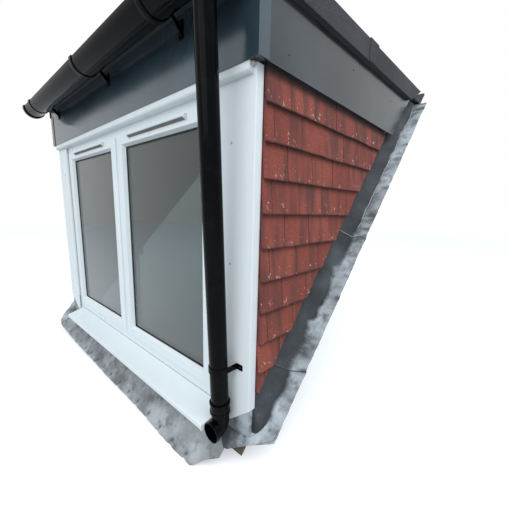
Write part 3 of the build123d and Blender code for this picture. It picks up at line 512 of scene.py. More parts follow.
def grittyFelt(s):
    mat, t = newFinish("mineralFelt", s["bitumen"], 0.86)
    pick, off = cells(t, s["grains"])
    flake = blend(t, pick, s["bitumen"], s["grit"])
    tone = cover(t, s["bitumen"], flake, off, (0.20, 1.0), (0.60, 0.0))
    tone = cover(t, tone, s["dust"], cloud(t, 2.2, 6), (0.45, 0.0), (0.78, 0.5))
    wave = relief(t, cloud(t, 8, 3), 0.006, 0.45)
    return shaded(mat, tone, normal=relief(t, off, 0.0024, 0.9, wave))


timberSet = {
    "bare": ((0.44, 0.30, 0.17), (0.27, 0.155, 0.075)),  # the wood and its rings
    "treated": ((0.070, 0.056, 0.036), (0.060, 0.045, 0.026)),
    "painted": ((0.013, 0.014, 0.016), (0.005, 0.005, 0.006)),
    "rings": (("Scale", 16), ("Distortion", 7), ("Detail", 3), ("Detail Scale", 1.2)),
    "sawn": (60, 380, 380),
}


def sawnTimber(s, name, wood, stretch):
    body, dark = s[wood]
    mat, t = newFinish(name, body, 0.72)
    rings = t.nodes.new("ShaderNodeTexWave")
    rings.wave_type = "BANDS"
    rings.bands_direction = "Z"
    for socket, value in s["rings"]:
        rings.inputs[socket].default_value = value
    t.links.new(spot(t, stretch), rings.inputs["Vector"])
    ring = rings.outputs["Fac"]
    tone = cover(t, body, dark, ring, (0.35, 0.0), (0.9, 0.8))
    tone = cover(t, tone, dark, cloud(t, 9, 5), (0.45, 0.0), (0.8, 0.4))
    saw = relief(t, cloud(t, 1.0, 3, at=spot(t, s["sawn"])), 0.0007, 0.5)
    return shaded(mat, tone, normal=relief(t, ring, 0.0006, 0.4, saw))


strandSet = {
    "dark": (0.20, 0.115, 0.055),
    "strand": (0.43, 0.275, 0.135),
    "light": (0.62, 0.45, 0.26),
    "black": (0.012, 0.013, 0.014),
    "painted": (-0.0735, 0.980),  # the deck's overhang and the outer ends are painted
    "flakes": (((13, 62, 62), (0, 0, 24)), ((58, 12, 58), (0, 18, 31))),
    "grain": ((90, 500, 500), (0, 0, 24)),
}


def flakeTone(t, scale, turn):
    bent = blend(t, 0.035, spot(t, scale, turn), cloud(t, 30, 2))
    return cells(t, 1.0, bent)[0]


def strandBoard(s):
    mat, t = newFinish("strandBoard", s["strand"], 0.68)
    lower, upper = (flakeTone(t, scale, turn) for scale, turn in s["flakes"])
    tone = cover(t, lower, upper, cloud(t, 27, 1), (0.49, 0.0), (0.51, 1.0))
    tone = blend(t, 0.35, tone, cloud(t, 1.0, 2, at=spot(t, *s["grain"])))
    wood = ramp(t, tone, (0.18, s["dark"]), (0.42, s["strand"]), (0.80, s["light"]))
    front, side = s["painted"]
    ends = sums(t, "GREATER_THAN", fromMiddle(t), side)
    painted = sums(t, "MAXIMUM", sums(t, "LESS_THAN", axisOf(t, "Y"), front), ends)
    return shaded(mat, blend(t, painted, wood, s["black"]), normal=relief(t, tone, 0.0010, 0.5))


plasterSet = {"paint": (0.58, 0.60, 0.59), "shade": (0.48, 0.50, 0.49)}


def paintedPlaster(s):
    mat, t = newFinish("rolledPlaster", s["paint"], 0.82)
    tone = ramp(t, cloud(t, 2.4, 5), (0.3, s["shade"]), (0.65, s["paint"]))
    return shaded(mat, tone, normal=relief(t, cloud(t, 240, 3, 0.7), 0.0008, 0.5))


glassSet = {"tint": (0.262, 0.31, 0.305), "haze": 0.05, "index": 1.52, "specular": 0.12}


def windowGlass(s):
    mat, t = newFinish("sealedUnitGlass", s["tint"], 0.02, s["specular"])
    shader = t.nodes["Principled BSDF"]
    shader.inputs["Transmission Weight"].default_value = 1.0
    shader.inputs["IOR"].default_value = s["index"]
    rough = ramp(t, cloud(t, 6, 5), (0.4, 0.0), (0.8, s["haze"]))
    return shaded(mat, rough=rough, normal=relief(t, cloud(t, 2.0, 1), 0.003, 0.03))


spacerSet = {"metal": (0.80, 0.82, 0.84), "gloss": (0.28, 0.45), "holes": 300}


def spacerMetal(s):
    mat, t = newFinish("rolledSpacer", s["metal"], s["gloss"][0], metallic=0.5)
    rough = ramp(t, cloud(t, 60, 4), (0.3, s["gloss"][0]), (0.7, s["gloss"][1]))
    return shaded(mat, rough=rough, normal=relief(t, cells(t, s["holes"])[1], 0.0005, 0.4))


smallSet = {
    # dark tone, light tone, roughness, size of the grain, depth of its relief
    "gasketRubber": ((0.003, 0.003, 0.0035), (0.008, 0.008, 0.009), 0.6, 140, 0.0004),
    "greyMastic": ((0.30, 0.33, 0.34), (0.47, 0.51, 0.52), 0.45, 190, 0.0005),
    "expandedFoam": ((0.26, 0.18, 0.14), (0.78, 0.68, 0.62), 0.9, 130, 0.004),
    # the caps are greyed as painted shade round each white cap
    "screwCapsWithPaintedShade": ((0.30, 0.32, 0.33), (0.50, 0.53, 0.55), 0.4, 260, 0.0002),
    # the grille is darkened as painted shade under each hood
    "ventGrilleWithPaintedShade": ((0.075, 0.064, 0.059), (0.135, 0.115, 0.106), 0.7, 210, 0.0002),
    "darkPins": ((0.006, 0.006, 0.007), (0.015, 0.016, 0.018), 0.4, 400, 0.0002),
}


def smallFinish(s, name):
    dark, light, roughness, size, depth = s[name]
    mat, t = newFinish(name, light, roughness, 0.25)
    grain = cloud(t, size, 4, 0.65)
    return shaded(mat, ramp(t, grain, (0.34, dark), (0.66, light)), normal=relief(t, grain, depth, 0.5))


whiteFinish = whitePlastic(plasticSet)
sideBoardFinish = satinBoard(sideBoardSet, "satinSideFascia")
gutterFinish = gutterPlastic(gutterSet, "glossBlackGutter", (1.2, 70, 70))
pipeFinish = gutterPlastic(gutterSet, "glossBlackPipe", (70, 70, 1.2))
clayFinish = hungClay(clayWearAndShade)
apronFinish = dressedLead(leadWearAndPaintedLight, "weatheredApronLeadAndPaintedLight", 0.25, plainSheet)
sideFinish = dressedLead(sideWearAndPaintedLight, "foldedSideLead", 0.08, foldedSide)
cornerFinish = dressedLead(sideWearAndPaintedLight, "dressedCornerLead", 0.12, foldedCorner)
feltFinish = grittyFelt(feltWear)
treatedFinish = sawnTimber(timberSet, "treatedPlates", "treated", (1, 3, 1))
paintedFinish = sawnTimber(timberSet, "blackPaintedRails", "painted", (1, 3, 1))
gasketFinish, masticFinish, foamFinish, capFinish, grilleFinish, pinFinish = (
    smallFinish(smallSet, name) for name in smallSet
)
slotFinish = {
    "white_plastic": whiteFinish,
    "black_board": satinBoard(boardSet, "satinFrontFascia"),
    "black_plastic": gutterFinish,
    "clay_tile": clayFinish,
    "lead": sideFinish,
    "felt": feltFinish,
    "timber": sawnTimber(timberSet, "sawnStuds", "bare", (1, 1, 3)),
    "sheet_board": strandBoard(strandSet),
    "plaster": paintedPlaster(plasterSet),
    "clear_glass": windowGlass(glassSet),
    "spacer_metal": spacerMetal(spacerSet),
}
ownFinish = {
    **dict.fromkeys(("front_sole_plate", "cheek_soles", "tile_battens"), treatedFinish),
    **dict.fromkeys(("verge_kerbs", "side_rails", "front_rail"), paintedFinish),
    **dict.fromkeys(("downpipe", "pipe_shoe", "pipe_clip", "gutter_outlet"), pipeFinish),
    "fascia_sides": sideBoardFinish,
}
for part in frame["record"]["subparts"]:
    solid = frame["nodes"][part["node"]]
    solid.data.materials.clear()
    solid.data.materials.append(ownFinish.get(part["node"], slotFinish[part["material_slot"]]))
print("finishes on the solids")


# Helpers for pieces
def settle(bm, name, finish, smooth=False, standsFor=(), crease=40):
    bmesh.ops.recalc_face_normals(bm, faces=bm.faces)
    for face in bm.faces:
        face.smooth = smooth
    for edge in bm.edges:
        if smooth and len(edge.link_faces) == 2 and edge.calc_face_angle(0) > math.radians(crease):
            edge.smooth = False
    mesh = bpy.data.meshes.new(name)
    bm.to_mesh(mesh)
    bm.free()
    piece = bpy.data.objects.new(name, mesh)
    bpy.context.scene.collection.objects.link(piece)
    mesh.materials.append(finish)
    if standsFor:
        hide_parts(*standsFor)
    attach(piece, "root")
    return piece


def rounded(piece, width, segments=2, angle=35):
    mod = piece.modifiers.new("softEdges", "BEVEL")
    mod.width = width
    mod.segments = segments
    mod.limit_method = "ANGLE"
    mod.angle_limit = math.radians(angle)


def addRun(bm, outline, way):
    # a closed outline carried along a straight way
    first = [bm.verts.new(Vector(p)) for p in outline]
    last = [bm.verts.new(Vector(p) + Vector(way)) for p in outline]
    bm.faces.new(first)
    bm.faces.new(last[::-1])
    for i in range(len(outline)):
        bm.faces.new((first[i], last[i], last[i - 1], first[i - 1]))


def addFrame(bm, low, high, section):
    # a ring with mitred corners round the window, its section given as inset and depth
    rings = []
    for inset, depth in section:
        x0, z0, x1, z1 = low[0] + inset, low[1] + inset, high[0] - inset, high[1] - inset
        rings.append([bm.verts.new((x, depth, z)) for x, z in ((x0, z0), (x1, z0), (x1, z1), (x0, z1))])
    for k in range(len(rings)):
        near, far = rings[k - 1], rings[k]
        for i in range(4):
            bm.faces.new((near[i], near[i - 1], far[i - 1], far[i]))


def addPlate(bm, outer, inner):
    # two grids of corners as the faces of a plate, closed round its edges
    rows, columns = len(outer) - 1, len(outer[0]) - 1
    for face in (outer, inner):
        for low, high in zip(face, face[1:]):
            for c in range(columns):
                bm.faces.new((low[c], low[c + 1], high[c + 1], high[c]))
    for r in (0, rows):
        for c in range(columns):
            bm.faces.new((outer[r][c], inner[r][c], inner[r][c + 1], outer[r][c + 1]))
    for c in (0, columns):
        for r in range(rows):
            bm.faces.new((outer[r][c], outer[r + 1][c], inner[r + 1][c], inner[r][c]))


def addHead(bm, place, way, radius, height, sides=14):
    # the low dome of a screw or pin
    way = Vector(way).normalized()
    across = way.orthogonal().normalized()
    other = way.cross(across)
    rings = []
    for up, wide in ((0, 1), (0.55, 0.93), (0.9, 0.62)):
        ring = []
        for k in range(sides):
            a = 2 * math.pi * k / sides
            out = (across * math.cos(a) + other * math.sin(a)) * radius * wide
            ring.append(bm.verts.new(Vector(place) + way * height * up + out))
        rings.append(ring)
    for near, far in zip(rings, rings[1:]):
        for k in range(sides):
            bm.faces.new((near[k - 1], near[k], far[k], far[k - 1]))
    bm.faces.new(rings[0][::-1])
    bm.faces.new(rings[-1])


def between(value, start, end):
    # nought before the start, one past the end
    return min(1.0, max(0.0, (value - start) / (end - start)))


def bump(offset, width):
    return math.exp(-((offset / width) ** 2))


def onLine(points, x):
    for (x0, y0), (x1, y1) in zip(points, points[1:]):
        if x <= x1:
            return y0 + (y1 - y0) * between(x, x0, x1)
    return points[-1][1]


def scored(bm, place, way, near=1e-6, frontOnly=False):
    # the mesh cut along a plane, and all that lies behind it dropped where asked
    whole = bm.verts[:] + bm.edges[:] + bm.faces[:]
    return bmesh.ops.bisect_plane(
        bm, geom=whole, dist=near, plane_co=place, plane_no=way, clear_inner=frontOnly)


# Edges of the white plastic, the boards, the brackets and the felt are softened where they stand
softSet = {
    "window_frame": 0.0015,
    "opening_light_right": 0.0012,
    "opening_light_left": 0.0012,
    "side_panel_right": 0.0016,
    "side_panel_left": 0.0016,
    "corner_covers": 0.0016,
    "head_trim": 0.0012,
    "window_board": 0.0012,
    "handles": 0.0010,
    "fascia_front": 0.0008,
    "fascia_sides": 0.0008,
    "fascia_corners": 0.0010,
    "gutter_brackets": 0.0007,
    "felt_verges": 0.0022,
    "felt_roof": 0.0020,
}


def softenEdges(s):
    for name, width in s.items():
        solid = frame["nodes"][name]
        weld = solid.modifiers.new("weld", "WELD")
        weld.merge_threshold = 0.00001
        rounded(solid, width, 3 if "felt" in name else 2)


softenEdges(softSet)


# Hung tiles on both cheeks, laid broken bond and cut to the slope
tileSet = {
    "pitch": 0.160,  # width with its joint
    "joint": 0.0028,
    "narrowest": 0.006,  # no narrower cut tile is hung
    "length": 0.262,
    "thick": 0.0130,
    "gauge": 0.1145,
    "topTail": 1.23106,  # height of the top course's tails
    "tailFace": 1.0398,  # how far out the tails stand
    "lean": 0.1048,
    "front": -0.024,
    "firstJoint": (0.095, 0.015),  # even and odd courses
    "cut": 0.1790,  # of the raking cut, square to the slope
    "soffit": 1.3340,
    "courses": 11,
    "camber": 0.0007,
    "lift": 0.0018,
    "twist": 0.0016,
    "uneven": 0.0016,  # line of the tails
    "toneShift": 5,  # of the bands from tile to tile
    "chip": 0.0007,
    "rough": 0.0001,
    "wornEdge": 0.0012,
    "columns": 6,
    "rows": 5,
    "seeds": {"right": 11, "left": 12},
}


def tileGrid(bm, s, layers, side, y0, y1, tail, rand):
    seedLayer, downLayer, acrossLayer = layers
    tone, lift, twist = rand.random(), rand.uniform(0, s["lift"]), rand.uniform(-1, 1) * s["twist"]
    tail += rand.uniform(-s["uneven"], s["uneven"])
    grid = []
    for inward in (0, s["thick"]):
        face = []
        for r in range(s["rows"] + 1):
            row = []
            for c in range(s["columns"] + 1):
                u, w = c / s["columns"], r / s["rows"]
                x = s["tailFace"] + (lift + twist * (u - 0.5)) * (1 - w) - s["lean"] * s["length"] * w
                x += s["camber"] * math.sin(math.pi * w) + rand.uniform(-s["rough"], s["rough"]) - inward
                z = tail + s["length"] * w + (rand.uniform(-1, 1) * s["chip"] if r == 0 else 0)
                corner = bm.verts.new((x * side, y0 + (y1 - y0) * u, z))
                corner[seedLayer] = tone
                corner[downLayer] = 1 - w
                corner[acrossLayer] = u * (y1 - y0) / s["pitch"] + tone * s["toneShift"]
                row.append(corner)
            face.append(row)
        grid.append(face)
    addPlate(bm, *grid)


def hangTiles(s, sideName):
    side = 1 if sideName == "right" else -1
    rand = random.Random(s["seeds"][sideName])
    bm = bmesh.new()
    layers = [bm.verts.layers.float.new(name) for name in ("tileSeed", "tileDown", "tileAcross")]
    for course in range(s["courses"]):
        tail = s["topTail"] - course * s["gauge"]
        head = min(tail + s["length"], s["soffit"])
        reach = (head - s["cut"] / math.cos(roofSlope)) / math.tan(roofSlope)
        start = s["firstJoint"][course % 2] - s["pitch"]
        while start < reach:
            y0, y1 = max(start, s["front"]), start + s["pitch"] - s["joint"]
            start += s["pitch"]
            if y1 - y0 > s["narrowest"]:
                tileGrid(bm, s, layers, side, y0, y1, tail, rand)
    top = Vector((0, 0, s["soffit"]))
    for place, keep in ((offSlope * s["cut"], offSlope), (top, Vector((0, 0, -1)))):
        cut = scored(bm, place, keep, 0, True)
        rim = [e for e in cut["geom_cut"] if isinstance(e, bmesh.types.BMEdge)]
        bmesh.ops.holes_fill(bm, edges=rim, sides=0)
    tiles = settle(bm, "hung_tiles_" + sideName, clayFinish, standsFor=("cheek_tiles",))
    rounded(tiles, s["wornEdge"], 1, 50)


hangTiles(tileSet, "right")
hangTiles(tileSet, "left")
print("tiles hung")


# Lead, the plain folded sheets of the CAD dressed
dressSet = {
    "fold": 1.050,
    "foldRound": 0.006,
    "upstandWay": (0.448, 0.8335),  # less off the slope, more outwards
    "level": 0.0716,  # of the flat lead, square to the slope
    "beat": (0.0017, 15),  # height and size of the dressing marks
    "fine": (0.0005, 62),
    # step, from and to, of the cuts across, off and along the slope
    "cuts": ((0.009, 0.985, 1.12), (0.010, 0.080, 0.178), (0.011, -0.14, 2.10)),
    "heldFront": (-0.02, 0.02),  # tight behind the panels, loose past them
    "heldInside": (1.018, 1.048),
    "heldTop": (0.150, 0.172, 0.6),
    "laps": {0.999: 0.75, 0.292: 0.1},  # where one sheet laps the next, and how bright the painted highlight along its edge is
    "lapSkew": 0.357,
    "lapLift": 0.0045,
    "lapShade": 0.005,
    "lapEdge": (0.0006, 0.0012),
    "lapReach": 0.12,
    "tileSteps": (-0.02, 0.31, 0.655, 1.0, 1.345, 1.69, 2.03),  # dressed over the roof covering
    "stepDepth": 0.0035,
    "stepWidth": 0.012,
    "stepOut": (1.066, 1.100),  # nothing at the first, full at the second
    # where past the step, how wide, how strong; the shine is a painted highlight
    "stepSwell": (0.028, 0.014, 0.6),
    "stepShine": (0.030, 0.013, 0.55),
    "stepShade": (0.25, 1.09, 0.009, 0.85),  # painted shade at each step, skewed about this line
    # a paler band in patches along the top edge of the upstand
    "paleTopBand": (0.158, 0.164, 0.170, 0.176, 0.5),
    "paleTopPatches": (6, 8, 0.25),
    "edge": (1.098, 1.12),
    "edgeWave": 0.0055,
    "edgeWaves": ((0.5, 7, 2), (0.35, 38, 5)),  # share, size and seed
}
apronSet = {
    "dents": (-0.801, -0.666, -0.568, -0.444, -0.340, -0.219, -0.115, -0.001,
              0.120, 0.233, 0.341, 0.460, 0.573, 0.680, 0.784),
    "dentReach": 0.05,
    # across and up from each dent at the lower edge, how wide and high, how strong; shade is painted shade
    # in the dent and shine a painted highlight beside it
    "press": (0, 0.017, 0.0075, 0.013, -0.0055),
    "lobe": (0.010, 0.003, 0.012, 0.011, 0.0040),
    "shade": (0, 0.017, 0.0085, 0.011, 0.95),
    "shine": (0.011, 0.004, 0.011, 0.009, 0.6),
    "nick": (0.011, 0.0045, 0.03),
    "ragged": (0.0016, 30),
    "raggedFrom": (-0.12, -0.17),
    "slideFrom": (-0.06, -0.15),
    "cuts": ((0.0065, -1.052, 0.935), (0.0075, -0.205, -0.010)),
    "loose": (0.0, -0.04),  # up the slope: held above the first, free below the second
    "flatEdge": ((-1.055, -0.153), (-0.940, -0.187), (0.820, -0.203), (0.935, -0.111)),
    "worn": (
        (-1.055, -0.150), (-1.007, -0.159), (-0.630, -0.173), (-0.268, -0.179), (-0.022, -0.186),
        (0.199, -0.186), (0.416, -0.190), (0.593, -0.200), (0.718, -0.202), (0.825, -0.201),
        (0.841, -0.191), (0.872, -0.155), (0.935, -0.111),
    ),
}


def cutSheet(bm, way, step, start, end):
    at = start
    while at < end:
        scored(bm, way * at, way)
        at += step


def sheetFrom(name):
    bm = bmesh.new()
    bm.from_mesh(frame["nodes"][name].data)
    bmesh.ops.remove_doubles(bm, verts=bm.verts, dist=1e-5)
    bmesh.ops.dissolve_limit(bm, angle_limit=0.002, verts=bm.verts, edges=bm.edges)
    return bm


def markLayers(bm):
    # painted shade and painted highlight, carried by the sheet's corners
    return [bm.verts.layers.float.new(mark) for mark in ("dentShade", "dentShine")]


def beaten(place, s):
    return sum(noise.noise(place * size) * height for height, size in (s["beat"], s["fine"]))


def keepInside(bm, name):
    low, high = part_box(name)
    for v in bm.verts:
        v.co = Vector([min(max(v.co[k], low[k]), high[k]) for k in range(3)])


def dressSide(name, s):
    bm = sheetFrom(name)
    side = 1 if "right" in name else -1
    for way, cut in zip((Vector((side, 0, 0)), offSlope, alongSlope), s["cuts"]):
        cutSheet(bm, way, *cut)
    shade, shine = markLayers(bm)
    lapStart, lapCut = s["lapEdge"]
    for lap in s["laps"]:
        skewed = alongSlope - Vector((s["lapSkew"] * side, 0, 0))
        for shift in (-s["lapShade"], 0, lapCut, s["lapShade"]):
            scored(bm, skewed * ((lap + shift - s["lapSkew"] * s["fold"]) / skewed.length_squared), skewed)
    for v in bm.verts:
        across, along, off = abs(v.co.x), v.co.dot(alongSlope), v.co.dot(offSlope)
        upright = between(s["fold"] - across, 0, s["foldRound"])
        less, more = s["upstandWay"]
        way = (offSlope * (1 - less * upright) + Vector((more * side * upright, 0, 0))).normalized()
        loose = max(between(v.co.y, *s["heldFront"]), between(across, *s["heldInside"]))
        low, high, held = s["heldTop"]
        loose *= 1 - held * between(off, low, high)
        shift = beaten(v.co, s)
        # painted highlight along each lap's edge, painted shadow just below it
        for lap, bright in s["laps"].items():
            past = along - s["lapSkew"] * (across - s["fold"]) - lap
            if past >= lapStart and past < s["lapReach"]:
                shift += s["lapLift"] * (1 - past / s["lapReach"])
                v[shine] = max(v[shine], bright * between(past, s["lapShade"], 0.001))
            elif past > -s["lapShade"] and past < lapStart:
                v[shade] = max(v[shade], between(past, -s["lapShade"], -0.0005))
        # at each tile step the lead swells, with painted shade and a painted highlight
        outer = between(across, *s["stepOut"])
        for step in s["tileSteps"]:
            past = along - step
            at, width, strong = s["stepSwell"]
            shift -= s["stepDepth"] * (bump(past, s["stepWidth"]) - strong * bump(past - at, width)) * outer
            skew, line, width, strong = s["stepShade"]
            v[shade] = max(v[shade], strong * bump(past - skew * (across - line), width) * outer)
            at, width, strong = s["stepShine"]
            v[shine] = max(v[shine], strong * bump(past - at, width) * outer)
        # paler in patches along the top edge of the upstand
        start, full, fade, end, strong = s["paleTopBand"]
        size, seed, whole = s["paleTopPatches"]
        patchy = between(noise.noise(Vector((along * size, seed, side))), 0.0, whole)
        v[shine] = max(v[shine], strong * patchy * between(off, start, full) * between(off, end, fade))
        v.co += way * shift * loose
        if across > s["edge"][0]:
            wave = 0.5
            for share, size, seed in s["edgeWaves"]:
                wave += share * noise.noise(Vector((along * size, seed, side)))
            v.co.x -= side * s["edgeWave"] * max(0.0, wave) * between(across, *s["edge"])
    keepInside(bm, name)
    settle(bm, name + "_dressed", sideFinish, smooth=True, standsFor=(name,))


def markAt(mark, x, up):
    atX, atUp, wide, high, strong = mark
    return strong * bump(x - atX, wide) * bump(up - atUp, high)


def dressApron(name, s, edge):
    bm = sheetFrom(name)
    for way, cut in zip((Vector((1, 0, 0)), alongSlope), edge["cuts"]):
        cutSheet(bm, way, *cut)
    shade, shine = markLayers(bm)
    for v in bm.verts:
        x, along = v.co.x, v.co.dot(alongSlope)
        if along > edge["loose"][0]:
            continue
        edgeAlong = onLine(edge["worn"], x)
        slide = (edgeAlong - onLine(edge["flatEdge"], x)) * between(along, *edge["slideFrom"])
        shift = beaten(v.co, s)
        for dent in edge["dents"]:
            if abs(x - dent) < edge["dentReach"]:
                up = along + slide - edgeAlong
                shift += markAt(edge["press"], x - dent, up)
                shift += markAt(edge["lobe"], x - dent, up)
                wide, depth, reach = edge["nick"]
                slide += depth * bump(x - dent, wide) * between(up, reach, 0.0)
                # painted shade in each dent, painted highlight beside it
                v[shade] = max(v[shade], markAt(edge["shade"], x - dent, up))
                v[shine] = max(v[shine], markAt(edge["shine"], x - dent, up))
        ragged, size = edge["ragged"]
        slide += ragged * noise.noise(Vector((x * size, 1, 1))) * between(along, *edge["raggedFrom"])
        v.co += (offSlope * shift + alongSlope * slide) * between(along, *edge["loose"])
    keepInside(bm, name)
    settle(bm, name + "_dressed", apronFinish, smooth=True, standsFor=(name,))


dressSide("side_lead_right", dressSet)
dressSide("side_lead_left", dressSet)
dressApron("lead_apron", dressSet, apronSet)

# Corner sheets at both feet, lapped over the apron and tucked under the panels
cornerSet = {
    "right": (
        (0.896, -0.0545), (0.898, -0.075), (0.906, -0.089), (0.938, -0.1045), (0.952, -0.102),
        (1.015, -0.071), (1.098, -0.030), (1.113, -0.021), (1.1125, -0.006), (1.109, 0.011),
        (1.062, 0.011), (1.056, -0.008), (1.046, -0.024), (1.020, -0.046), (0.990, -0.0545),
    ),
    "left": (
        (-0.990, -0.0545), (-1.020, -0.046), (-1.046, -0.024), (-1.056, -0.008), (-1.062, 0.011),
        (-1.117, 0.011), (-1.118, -0.050), (-1.112, -0.062), (-1.117, -0.086), (-1.109, -0.108),
        (-1.093, -0.128), (-1.086, -0.143), (-1.060, -0.151), (-1.030, -0.139), (-0.985, -0.132),
        (-0.972, -0.090),
    ),
    "lift": 0.0010,
    "thick": 0.0022,
    "beat": (0.0026, 21, 0.55),  # height, size and the share that is raised
    "tucked": (-0.054, -0.064),  # flat behind the first, free in front of the second
    "tuckedHalf": 1.0,
    "cuts": ((0.0075, 0.9, 1.118), (0.0075, -0.21, 0.10)),
}


def dressCorner(s, which, wear):
    bm = bmesh.new()
    rise = wear["level"] / math.cos(roofSlope)
    rim = [Vector((x, y, y * math.tan(roofSlope) + rise)) + offSlope * s["lift"] for x, y in s[which]]
    bm.faces.new([bm.verts.new(p) for p in rim])
    side = 1 if which == "right" else -1
    for way, cut in zip((Vector((side, 0, 0)), alongSlope), s["cuts"]):
        cutSheet(bm, way, *cut)
    bmesh.ops.triangulate(bm, faces=bm.faces)
    height, size, raised = s["beat"]
    for v in bm.verts:
        shift = height * (raised + noise.noise(v.co * size)) + beaten(v.co, wear)
        free = between(v.co.y, *s["tucked"]) if abs(v.co.x) < s["tuckedHalf"] else 1.0
        v.co += offSlope * max(0.0, shift) * free
    sheet = settle(bm, "corner_lead_" + which, cornerFinish, smooth=True)
    thick = sheet.modifiers.new("thickness", "SOLIDIFY")
    thick.thickness = s["thick"]
    thick.offset = 1 if sheet.data.polygons[0].normal.z > 0 else -1


dressCorner(cornerSet, "right", dressSet)
dressCorner(cornerSet, "left", dressSet)
print("lead dressed")


# Gaskets that hold the panes, outside and inside
gasketSet = {
    "x": (0.021, 0.794),
    "z": (0.15766, 1.26616),
    # inset and depth
    "outside": ((0.057, -0.0378), (0.0598, -0.0392), (0.0646, -0.0374), (0.0664, -0.0351), (0.057, -0.0351)),
    "inside": ((0.057, -0.0109), (0.0645, -0.0109), (0.0625, -0.0088), (0.057, -0.0076)),
}


def bothSides(x):
    # the span on the left light, then on the right one
    return [sorted((side * x[0], side * x[1])) for side in (-1, 1)]


def fitGaskets(s):
    bm = bmesh.new()
    for low, high in bothSides(s["x"]):
        for section in (s["outside"], s["inside"]):
            addFrame(bm, (low, s["z"][0]), (high, s["z"][1]), section)
    settle(bm, "pane_gaskets", gasketFinish)


fitGaskets(gasketSet)

# Vent hoods on the head of each light: a white canopy over a slanted grille, closed by end caps
hoodSet = {
    "x": (0.1575, 0.6575),
    "profile": (
        (-0.0570, 1.26116), (-0.0712, 1.2560), (-0.0730, 1.2540), (-0.0730, 1.2500),
        (-0.0705, 1.2482), (-0.0585, 1.2390), (-0.0570, 1.2384),
    ),
    "cap": (
        (-0.0570, 1.26116), (-0.0714, 1.2562), (-0.0730, 1.2544), (-0.0730, 1.2466),
        (-0.0700, 1.2440), (-0.0590, 1.2374), (-0.0570, 1.2372),
    ),
    "capLength": 0.009,
    "grille": ((-0.0700, 1.2478), (-0.0588, 1.2391)),
    "slats": 6,
    "slatStart": 0.15,  # shares of the room that each slat has
    "slatDeep": 0.62,
    "slatOut": 0.0011,
    "slatLip": (0.35, 0.6),  # where it stands out most, and how far it does at its end
    "softEdge": 0.0007,
}


def formHoods(s):
    shell, slats = bmesh.new(), bmesh.new()
    (y0, z0), (y1, z1) = s["grille"]
    along = Vector((0, y1 - y0, z1 - z0))
    out = Vector((0, -(z0 - z1), -(y1 - y0))).normalized() * s["slatOut"]
    rib = along / s["slats"] * s["slatDeep"]
    most, end = s["slatLip"]
    for low, high in bothSides(s["x"]):
        inner = low + s["capLength"]
        way = (high - low - 2 * s["capLength"], 0, 0)
        addRun(shell, [(inner, y, z) for y, z in s["profile"]], way)
        for start in (low, high - s["capLength"]):
            addRun(shell, [(start, y, z) for y, z in s["cap"]], (s["capLength"], 0, 0))
        for k in range(s["slats"]):
            foot = Vector((inner, y0, z0)) + along * ((k + s["slatStart"]) / s["slats"])
            addRun(slats, [foot, foot + rib * most + out, foot + rib + out * end, foot + rib], way)
    hoods = settle(shell, "vent_hoods_formed", whiteFinish, standsFor=("vent_hoods",))
    rounded(hoods, s["softEdge"])
    # the grilles' dark finish is partly painted shade under the canopy
    settle(slats, "vent_grilles", grilleFinish)


formHoods(hoodSet)

# Beads of mastic between the frame, the panels and the sill
masticSet = {
    "y": -0.045,
    "section": ((0, 0), (1, 0), (0.45, 0.55), (0, 1)),  # across and out, as shares of the width
    "panelX": 0.850,
    "panelZ": (0.1112, 1.268),
    "panelWide": 0.0042,
    "sillX": (-0.8495, 0.8495),
    "sillZ": 0.1108,
    "sillWide": 0.00336,
    "sunk": 0.0002,  # into the sill's fall
    "softEdge": 0.0006,
}


def runMastic(s):
    bm = bmesh.new()
    z0, z1 = s["panelZ"]
    wide = s["panelWide"]
    for side in (-1, 1):
        outline = [(side * (s["panelX"] - wide * a), s["y"] - wide * b, z0) for a, b in s["section"]]
        addRun(bm, outline, (0, 0, z1 - z0))
    x0, x1 = s["sillX"]
    wide = s["sillWide"]
    rise = [wide * a if a else -s["sunk"] for a, b in s["section"]]
    outline = [(x0, s["y"] - wide * b, s["sillZ"] + up) for up, (a, b) in zip(rise, s["section"])]
    addRun(bm, outline, (x1 - x0, 0, 0))
    rounded(settle(bm, "mastic_beads", masticFinish), s["softEdge"])


runMastic(masticSet)

# End cap on the sill
capSet = {
    "x": (0.8749, 0.8789),
    "profile": ((-0.1712, 0.0715), (-0.1712, 0.0966), (-0.060, 0.1113), (-0.060, 0.0858),
                (-0.1575, 0.0858), (-0.1575, 0.0715)),
    "softEdge": 0.0011,
}


def capSill(s):
    bm = bmesh.new()
    x0, x1 = s["x"]
    addRun(bm, [(x0, y, z) for y, z in s["profile"]], (x1 - x0, 0, 0))
    rounded(settle(bm, "sill_end_cap", whiteFinish), s["softEdge"], 3)


capSill(capSet)
print("window fitted out")

# Hooks that close the brackets and stop ends over the rims of the gutter
hookSet = {
    "places": ((-0.864, -0.836), (0.006, 0.034), (0.656, 0.684), (-1.035, -1.001), (1.001, 1.035)),
    "axis": -0.190,
    "rim": 1.57066,
    "profile": (
        (0.0634, -0.010), (0.0634, 0.0052), (0.0606, 0.0082), (0.0532, 0.0082), (0.0508, 0.0060),
        (0.0508, 0.0022), (0.0524, 0.0022), (0.0524, 0.0048), (0.0540, 0.0062), (0.0595, 0.0062),
        (0.0611, 0.0046), (0.0611, -0.010),
    ),
    "softEdge": 0.0005,
}


def hookRims(s):
    bm = bmesh.new()
    for x0, x1 in s["places"]:
        for way in (-1, 1):
            outline = [(x0, s["axis"] + way * out, s["rim"] + up) for out, up in s["profile"]]
            addRun(bm, outline, (x1 - x0, 0, 0))
    rounded(settle(bm, "rim_hooks", gutterFinish), s["softEdge"])


hookRims(hookSet)

